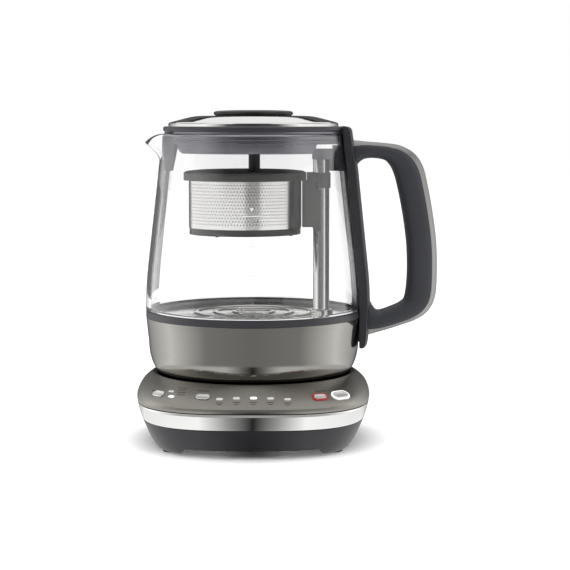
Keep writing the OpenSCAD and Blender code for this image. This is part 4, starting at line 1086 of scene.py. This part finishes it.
def lid_skirt():
    outline = eased([(skirt_r - skirt_t, skirt_low.z, 0.5), (skirt_r, skirt_low.z, 0.8), (skirt_r, rim_low.z),
                     (skirt_r - skirt_t, rim_low.z)])
    bm = spun(outline, ROUND, math.radians(360 - 2 * ring_open))
    for v in bm.verts:
        angle = abs(math.degrees(math.atan2(v.co.y, v.co.x)))
        near_spout = min(1.0, max(0.0, (180 - angle - ring_open) / spout_ramp))
        near_handle = min(1.0, max(0.0, (angle - handle_open) / handle_ramp))
        floor_z = notch_z + (skirt_low.z - notch_z) * min(near_spout, near_handle) ** ramp_power
        v.co.z = max(v.co.z, floor_z)
    return finish(bm, "smoked_skirt", "jug_lid", "smoke_plastic", smoked_clear, ["lid_skirt"], 50)


def lid_seal():
    foot_z = seal_low.z
    outline = [(skirt_r + 0.05, foot_z)]
    for z in (foot_z, foot_z + 2.6, foot_z + 5.0):
        outline += [(seal_r, z + 0.1, 0.3), (seal_r, z + 0.9, 0.3), (seal_r - 0.8, z + 1.1),
                    (seal_r - 0.8, z + 2.2)]
    outline = outline[:-1] + [(seal_r - 0.8, rim_top_z), (lid_edge_r - 1.5, rim_top_z, 0.3),
                              (lid_edge_r - 1.5, seal_high.z), (skirt_r + 0.05, seal_high.z)]
    bm = spun(eased(outline, 3), ROUND, math.radians(360 - 2 * ring_open))
    return finish(bm, "ribbed_seal", "jug_lid", "seal_silicone", ribbed_clear, ["lid_seal"], 50)


lid_skirt()
lid_seal()

# %% [markdown]
# ## The tea basket
# The wall is sheet steel with punched round holes in staggered rows. A grid of triangles is wrapped
# round the basket with a vertex at each hole; bevelling the vertices turns each into a twelve-sided
# disc, which is deleted. Only then does the sheet get its thickness, and the holes their walls, so
# that every rim is a sharp edge and the steel between the holes stays even.

# %% The perforated wall
wall_low, wall_high = box_of("basket_wall")
basket_x = (wall_low.x + wall_high.x) / 2
basket_r = (wall_high.x - wall_low.x) / 2
hole_pitch, row_pitch, hole_r = 2.2, 2.33, 0.58
sheet_t = 0.6
perforated_rows = 13
polish_depth = 0.15


def punched_sheet_steel(name):
    """Polished on its outer side and left dull inside, where its near-black colour is painted shade; the
    sides are told apart by the distance from the basket's axis
    """
    material = new_material(name)
    offset = on_vectors(material, "SUBTRACT", place(material), (basket_x, 0, 0))["Vector"]
    level = on_vectors(material, "MULTIPLY", offset, (1, 1, 0))["Vector"]
    reach = on_vectors(material, "LENGTH", level)["Value"]
    outside = arithmetic(material, "GREATER_THAN", reach, basket_r - polish_depth)
    # painted shade: the inner side's near-black colour stands in for the shade inside the basket; its rougher
    # finish is real
    return surface(material, {
        "Base Color": blend_colours(material, outside, "3c3c3b", "e4e3e1"), "Metallic": 1.0,
        "Roughness": spread(material, outside, 0.5, 0.22)})


sheet_steel = punched_sheet_steel("perforated_sheet_steel")


def perforated_wall():
    holes_round = round(FULL * basket_r / hole_pitch)
    first_z = wall_low.z + 3.0
    bm = bmesh.new()
    rows = []
    for k in range(perforated_rows + 2):
        ring = bmesh.ops.create_circle(bm, cap_ends=False, radius=basket_r, segments=holes_round)["verts"]
        z = first_z + (k - 1) * row_pitch
        stagger = Matrix.Rotation(FULL / holes_round / 2 * (k % 2), 3, "Z")
        bmesh.ops.rotate(bm, verts=ring, matrix=stagger, cent=(0, 0, 0))
        bmesh.ops.translate(bm, vec=(0, 0, z), verts=ring)
        rows.append(sorted(ring, key=lambda v: math.atan2(v.co.y, v.co.x) % FULL))
    for k, (low, high) in enumerate(zip(rows, rows[1:])):
        for i in range(holes_round):
            j = (i + 1) % holes_round
            if k % 2 == 0:
                bm.faces.new((low[i], low[j], high[i]))
                bm.faces.new((low[j], high[j], high[i]))
            else:
                bm.faces.new((low[i], high[j], high[i]))
                bm.faces.new((low[i], low[j], high[j]))
    inner = [v for row in rows[1:-1] for v in row]
    discs = bmesh.ops.bevel(bm, geom=inner, offset=hole_r, offset_type="OFFSET", segments=2, profile=0.5,
                            affect="VERTICES", material=-1)["faces"]
    bmesh.ops.delete(bm, geom=discs, context="FACES")
    for row, z in ((rows[0], wall_low.z), (rows[-1], wall_high.z)):
        rim_edges = {e for v in row for e in v.link_edges if e.is_boundary}
        made = bmesh.ops.extrude_edge_only(bm, edges=list(rim_edges))["geom"]
        for v in made:
            if isinstance(v, bmesh.types.BMVert):
                v.co.z = z
    bmesh.ops.remove_doubles(bm, verts=bm.verts, dist=WELD)
    bmesh.ops.recalc_face_normals(bm, faces=bm.faces)
    bmesh.ops.solidify(bm, geom=bm.faces[:], thickness=sheet_t)
    reach = max(math.hypot(v.co.x, v.co.y) for v in bm.verts)
    print("the sheet's outer radius", round(reach, 2), "for a basket of", round(basket_r, 2))
    bmesh.ops.translate(bm, vec=(basket_x, 0, 0), verts=bm.verts)
    return finish(
        bm, "punched_wall", "tea_basket", "brushed_steel", sheet_steel, ["basket_wall"], 50, turn_out=False)


perforated_wall()


# %% The basket's rim, base ring and lid
def basket_ring(name, node, body, outline):
    bm = spun(eased(outline), 128, centre_x=basket_x)
    return finish(bm, name, body, "olive_plastic", olive_pp, [node], 45)


rim_z_low = wall_high.z - 5.3
lid_z = box_of("basket_lid")[1].z
lip = 3.6
rim_r_in = basket_r + 0.05
rim_r_out = basket_r + lip
rim_z_high = box_of("basket_rim")[1].z
basket_ring("basket_rim_ring", "basket_rim", "tea_basket", [
    (rim_r_in, rim_z_low), (rim_r_out, rim_z_low, 0.5), (rim_r_out, rim_z_high, 0.7),
    (rim_r_in, rim_z_high, 0.2)])
refined("basket_base_ring", "tea_basket", "olive_plastic", olive_pp, 0.25)
basket_ring("basket_lid_disc", "basket_lid", "tea_basket_lid", [
    (0.0, rim_z_high - 3), (basket_r - 0.9, rim_z_high - 3, 0.4), (basket_r - 0.9, rim_z_high + 0.02),
    (rim_r_out - 1.2, rim_z_high + 0.02, 0.2), (rim_r_out - 1.6, rim_z_high + 0.7, 0.5),
    (basket_r - 6, lid_z - 0.3, 3), (20, lid_z, 4), (0.0, lid_z)])


# %% The stem on the basket's lid
def stem():
    low, high = box_of("basket_lid_stem")
    centre_x = (low.x + high.x) / 2
    outline = eased([(0.0, low.z), (4.2, low.z), (4.2, high.z - 2, 0.6), (6.0, high.z - 2, 0.4),
                     (6.0, high.z, 0.5), (0.0, high.z)])
    return finish(spun(outline, 48, centre_x=centre_x), "lid_stem", "tea_basket_lid", "black_plastic",
                  black_nylon, ["basket_lid_stem"], 45)


stem()

# %% [markdown]
# ## Marks on the glass
# The jug's marks are white ceramic ink on the outside of the glass: plain numbers, ticks and a small
# triangle for the highest level. Each lies on the glass, bent to its radius.

# %% The marks on the glass
ink_lift = 0.03
tick_h, numeral_h, numeral_rise, triangle_z = 0.6, 3.4, 3.9, 170.2
mark_rows = ((167.0, "", 12.0), (146.4, "8", 8.0), (126.4, "6", 8.0), (115.0, "", 6.0))


def wrapped_on_glass(bm):
    """Bends flat marks, drawn in x and z at y = 0, onto the front of the glass"""
    for v in bm.verts:
        r = glass_r(v.co.z) + ink_lift - v.co.y
        angle = v.co.x / glass_r(v.co.z) - math.pi / 2
        v.co = (r * math.cos(angle), r * math.sin(angle), v.co.z)


def numeral(text, height, x, z):
    """The outline of a number as a flat mesh, its size in millimetres"""
    curve = bpy.data.curves.new("numeral", "FONT")
    curve.body, curve.size, curve.align_x, curve.align_y = text, height, "CENTER", "CENTER"
    letter = bpy.data.objects.new("numeral", curve)
    bpy.context.scene.collection.objects.link(letter)
    bpy.context.view_layer.update()
    mesh = bpy.data.meshes.new_from_object(letter.evaluated_get(bpy.context.evaluated_depsgraph_get()))
    mesh.transform(Matrix.Translation((x, 0, z)) @ Matrix.Rotation(math.pi / 2, 4, "X"))
    bpy.data.objects.remove(letter)
    bpy.data.curves.remove(curve)
    return mesh


def glass_marks():
    bm = bmesh.new()
    for z, text, width in mark_rows:
        tick = bmesh.ops.create_grid(bm, x_segments=12, y_segments=1, size=0.5)["verts"]
        for v in tick:
            v.co = (v.co.x * width, 0, z + v.co.y * tick_h)
        if text:
            mesh = numeral(text, numeral_h, 0.0, z + numeral_rise)
            bm.from_mesh(mesh)
            bpy.data.meshes.remove(mesh)
    corners = [bm.verts.new((x, 0, triangle_z + z)) for x, z in ((-1.4, 2.3), (1.4, 2.3), (0, 0))]
    bm.faces.new(corners)
    wrapped_on_glass(bm)
    piece = finish(bm, "glass_marks", "jug", "lens_plastic", mark_ink, smooth=60, turn_out=False)
    film = piece.modifiers.new("film", "SOLIDIFY")
    film.thickness, film.offset = 0.04 * MM, 1
    return piece


glass_marks()

# %% [markdown]
# ## What stays as it was packed
# The pieces that lie inside, or that hardly show, keep the CAD's mesh and get their own finish.

# %% Finishes for the remaining nodes
inside_finishes = {
    black_nylon: ["base_connector", "connector_shroud", "jug_connector", "tact_switches"],
    contact_brass: ["connector_pin"],
    solder_mask: ["control_board", "power_board"],
    olive_pp: ["switch_mounts", "motor_bracket"],
    zinc_steel: ["base_screws", "handle_screws", "lid_screws", "heating_element", "lift_motor"],
    seal_silicone: ["glass_seal"],
    satin_steel: ["temperature_sensor", "lead_screw", "basket_floor"],
    nut_acetal: ["drive_nut", "shaft_coupler"],
    magnet_nickel: ["drive_magnets", "carriage_magnets"],
}
for material, nodes in inside_finishes.items():
    for name in nodes:
        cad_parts[name].data.materials.clear()
        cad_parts[name].data.materials.append(material)
dressed = {name for names in inside_finishes.values() for name in names}
shown = {name for name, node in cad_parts.items() if not node.hide_render}
print("still undressed:", sorted(shown - dressed))

# %% [markdown]
# ## The studio
# A pale floor, a white room and soft lamps. The floor adds a little of its own light where the camera,
# a mirror or glass looks at it, so that it reads as white and still shows the shadow. That light fades
# out towards the object, where it would wash out the dark line on which the base stands.

# %% The room and the floor
scene = bpy.context.scene
scene.view_settings.view_transform = "Standard"


def seen_directly(material):
    """1 where the camera, a mirror or glass looks, and 0 where light falls"""
    path = add(material, "ShaderNodeLightPath").outputs
    some = arithmetic(material, "MAXIMUM", path["Is Camera Ray"], path["Is Glossy Ray"])
    return arithmetic(material, "MAXIMUM", some, path["Is Transmission Ray"])


room = bpy.data.worlds.new("white_room")
room.use_nodes = True
room.node_tree.nodes.clear()
room_light = 0.8
strength = add(room, "ShaderNodeMapRange", inputs={
    "Value": seen_directly(room), "To Min": room_light, "To Max": 1.0}).outputs["Result"]
white = add(room, "ShaderNodeBackground", inputs={"Color": (1, 1, 1, 1), "Strength": strength})
add(room, "ShaderNodeOutputWorld", inputs={"Surface": white.outputs["Background"]})
scene.world = room

paper = new_material("pale_floor_paper")
paper_glow = 0.4
glow_from, glow_full = 70.0, 108.0
from_axis = on_vectors(paper, "LENGTH", place(paper))["Value"]
beyond_base = add(paper, "ShaderNodeMapRange", {"interpolation_type": "SMOOTHSTEP"}, {
    "Value": from_axis, "From Min": glow_from, "From Max": glow_full, "To Min": 0.0,
    "To Max": paper_glow}).outputs["Result"]
paper_lift = arithmetic(paper, "MULTIPLY", seen_directly(paper), beyond_base)
paper_skin = add(paper, "ShaderNodeBsdfPrincipled", inputs={
    "Base Color": blend_colours(paper, noise(paper, 0.002), "f2f2f2", "f4f4f4"), "Roughness": 0.6,
    "Specular IOR Level": 0.2})
paper_light = add(paper, "ShaderNodeEmission", inputs={
    "Color": (1, 1, 1, 1), "Strength": paper_lift})
paper_sum = add(paper, "ShaderNodeAddShader", inputs={
    0: paper_skin.outputs["BSDF"], 1: paper_light.outputs["Emission"]})
add(paper, "ShaderNodeOutputMaterial", inputs={"Surface": paper_sum.outputs["Shader"]})


def stage_piece(bm, name, material):
    piece = linked(bm, name)
    piece.data.materials.append(material)
    return piece


def flat_sheet(width, height):
    bm = bmesh.new()
    bmesh.ops.create_grid(bm, x_segments=1, y_segments=1, size=0.5)
    bmesh.ops.scale(bm, vec=(width * MM, height * MM, 1), verts=bm.verts)
    return bm


stage_piece(flat_sheet(12000, 12000), "floor", paper)


def only_reflected(piece, through_glass=False):
    """The piece shows in metal and glass alone: it casts no shadow and sends no light"""
    piece.visible_camera = piece.visible_diffuse = piece.visible_shadow = False
    piece.visible_transmission = through_glass


# %% [markdown]
# ## What the metal reflects
# Smooth metal has hardly a look of its own: it shows the room. A photographer therefore puts a tent of
# paper round it, lit here and dark there, and black flags further off. The tent is an open drum on a
# round sheet, and its brightness follows the direction round the object, the same to the left and to
# the right: darker in front, bright at both sides and dark behind. Its upper part is darkest in front,
# for the lid, and the sheet has a narrow dark strip in front, for the band. Only reflected rays see it.

# %% The tent
def once_reflected(material, glow):
    """That glow for a ray that has been reflected, and nothing for one that hasn't"""
    path = add(material, "ShaderNodeLightPath").outputs
    reflected = arithmetic(material, "GREATER_THAN", path["Glossy Depth"], 0.5)
    nothing = add(material, "ShaderNodeBsdfTransparent")
    return add(material, "ShaderNodeMixShader", inputs={
        0: reflected, 1: nothing.outputs["BSDF"], 2: glow.outputs["Emission"]}).outputs["Shader"]


def round_the_object(name, *stops):
    """Light by direction, the same on both sides; a stop is degrees from the front and a brightness"""
    material = new_material(name)
    point = add(material, "ShaderNodeSeparateXYZ", inputs={"Vector": place(material)}).outputs
    forward = arithmetic(material, "MULTIPLY", point["Y"], -1.0)
    turn = arithmetic(material, "ARCTAN2", arithmetic(material, "ABSOLUTE", point["X"]), forward)
    share = add(material, "ShaderNodeMapRange", inputs={
        "Value": turn, "From Min": 0.0, "From Max": math.pi})
    ramp = add(material, "ShaderNodeValToRGB", inputs={"Fac": share.outputs["Result"]})
    brightest = max(level for _, level in stops)
    elements = ramp.color_ramp.elements
    for element, (_, level) in ((elements[0], stops[0]), (elements[1], stops[-1])):
        element.color = [level / brightest] * 3 + [1]
    for degrees, level in stops[1:-1]:
        elements.new(degrees / 180).color = [level / brightest] * 3 + [1]
    glow = add(material, "ShaderNodeEmission", inputs={"Color": ramp.outputs["Color"], "Strength": brightest})
    add(material, "ShaderNodeOutputMaterial", inputs={"Surface": once_reflected(material, glow)})
    return material


drum_light = round_the_object(
    "tent_drum_paper", (0, 0.4), (45, 0.5), (90, 1.6), (130, 0.6), (150, 0.1), (180, 0.1))
upper_light = round_the_object(
    "tent_upper_paper", (0, 0.05), (30, 0.1), (60, 1.2), (110, 1.0), (150, 0.1), (180, 0.1))
sheet_light = round_the_object(
    "tent_sheet_paper", (0, 0.02), (10, 0.4), (25, 1.2), (100, 1.0), (150, 0.1), (180, 0.1))
tent_r, sheet_r, tent_lift, tent_split, tent_top = 290, 172, 0.4, 188, 330


def tent_wall(name, material, low_r, high_r, low_z, high_z):
    """A wall or, where the two heights are one, a flat ring"""
    bm = bmesh.new()
    rings = [bmesh.ops.create_circle(bm, cap_ends=False, segments=96, radius=r * MM)["verts"]
             for r in (low_r, high_r)]
    for ring, z in zip(rings, (low_z, high_z)):
        bmesh.ops.translate(bm, vec=(0, 0, z * MM), verts=ring)
    bmesh.ops.bridge_loops(bm, edges=bm.edges[:])
    wall = stage_piece(bm, name, material)
    only_reflected(wall)
    return wall


tent_wall("tent_drum", drum_light, tent_r, tent_r, tent_lift, tent_split)
tent_wall("tent_outer_sheet", drum_light, sheet_r, tent_r, tent_lift, tent_lift)
tent_wall("tent_inner_sheet", sheet_light, 1, sheet_r, tent_lift, tent_lift)
upper = tent_wall("tent_upper_drum", upper_light, tent_r, tent_r, tent_split, tent_top)
upper.visible_transmission = True
print("tent", tent_r, "mm in radius")


# %% [markdown]
# The flags stand about a metre off, or further. Behind the lid one darkens the dome's rear, two beside
# it give the glass its dark edges, and those in front give the basket and the dome their dark patches.
# A flag that a mirror alone may show is clear to a ray that hasn't been reflected yet, or the far side
# of the glass would show it from behind.

# %% The flags
def flag_cloth(name, level, mirrored_only):
    material = new_material(name)
    weave = spread(material, noise(material, 0.1), 0.95, 1.05)
    cloth = add(material, "ShaderNodeEmission", inputs={
        "Color": (level, level, level, 1), "Strength": weave})
    look = once_reflected(material, cloth) if mirrored_only else cloth.outputs["Emission"]
    add(material, "ShaderNodeOutputMaterial", inputs={"Surface": look})
    return material


black_flag = flag_cloth("black_flag", 0.02, True)
grey_flag = flag_cloth("grey_flag", 0.35, True)
edge_flag = flag_cloth("black_edge_flag", 0.03, False)
flags = (
    ("flag_behind_lid", black_flag, (0, 1000, 431), (700, 398)),
    ("flag_front_right", black_flag, (702, -2295, 825), (1286, 1750)),
    ("flag_front_high", black_flag, (0, -1500, 1400), (1600, 1800)),
    ("flag_side_left", grey_flag, (-900, 300, 725), (1200, 850)),
    ("flag_side_right", grey_flag, (900, 300, 725), (1200, 850)),
    ("flag_edge_left", edge_flag, (-540, 1015, 350), (600, 700)),
    ("flag_edge_right", edge_flag, (540, 1015, 350), (600, 700)))
for name, cloth, centre, size in flags:
    flag = stage_piece(flat_sheet(*size), name, cloth)
    flag.location = Vector(centre) * MM
    aim_y = 0 if "side" in name else -centre[1]
    flag.rotation_euler = Vector((-centre[0], aim_y, 0)).to_track_quat("Z", "Y").to_euler()
    only_reflected(flag, through_glass=True)


# %% The lamps
lamp_aim = (0, 0, 120)


def lamp(name, centre, size, power):
    data = bpy.data.lights.new(name, "AREA")
    data.shape, data.size, data.size_y, data.energy = "RECTANGLE", size[0] * MM, size[1] * MM, power
    light = bpy.data.objects.new(name, data)
    light.location = Vector(centre) * MM
    light.rotation_euler = (Vector(lamp_aim) - Vector(centre)).to_track_quat("-Z", "Y").to_euler()
    light.visible_glossy = light.visible_transmission = False
    scene.collection.objects.link(light)


lamp("key_left", (-1300, -1200, 900), (900, 1200), 6)
lamp("fill_right", (1400, -1100, 800), (800, 1200), 4)
lamp("top_soft", (0, 0, 1700), (1400, 1400), 7)

# %% [markdown]
# ## The camera
# It stands 1.2 m in front of the jug at the height of the lid and looks slightly down, with a long
# lens, as a catalogue photograph is taken.

# %% The camera
lens_data = bpy.data.cameras.new("camera")
lens_data.sensor_width = 36.0
lens_data.lens = 106.23
lens_data.clip_end = 100
camera = bpy.data.objects.new("camera", lens_data)
camera.location = (0.0229, -1.225, 0.2313)
camera.rotation_euler = (math.pi / 2 - 0.0965, 0, 0)
scene.collection.objects.link(camera)
scene.camera = camera
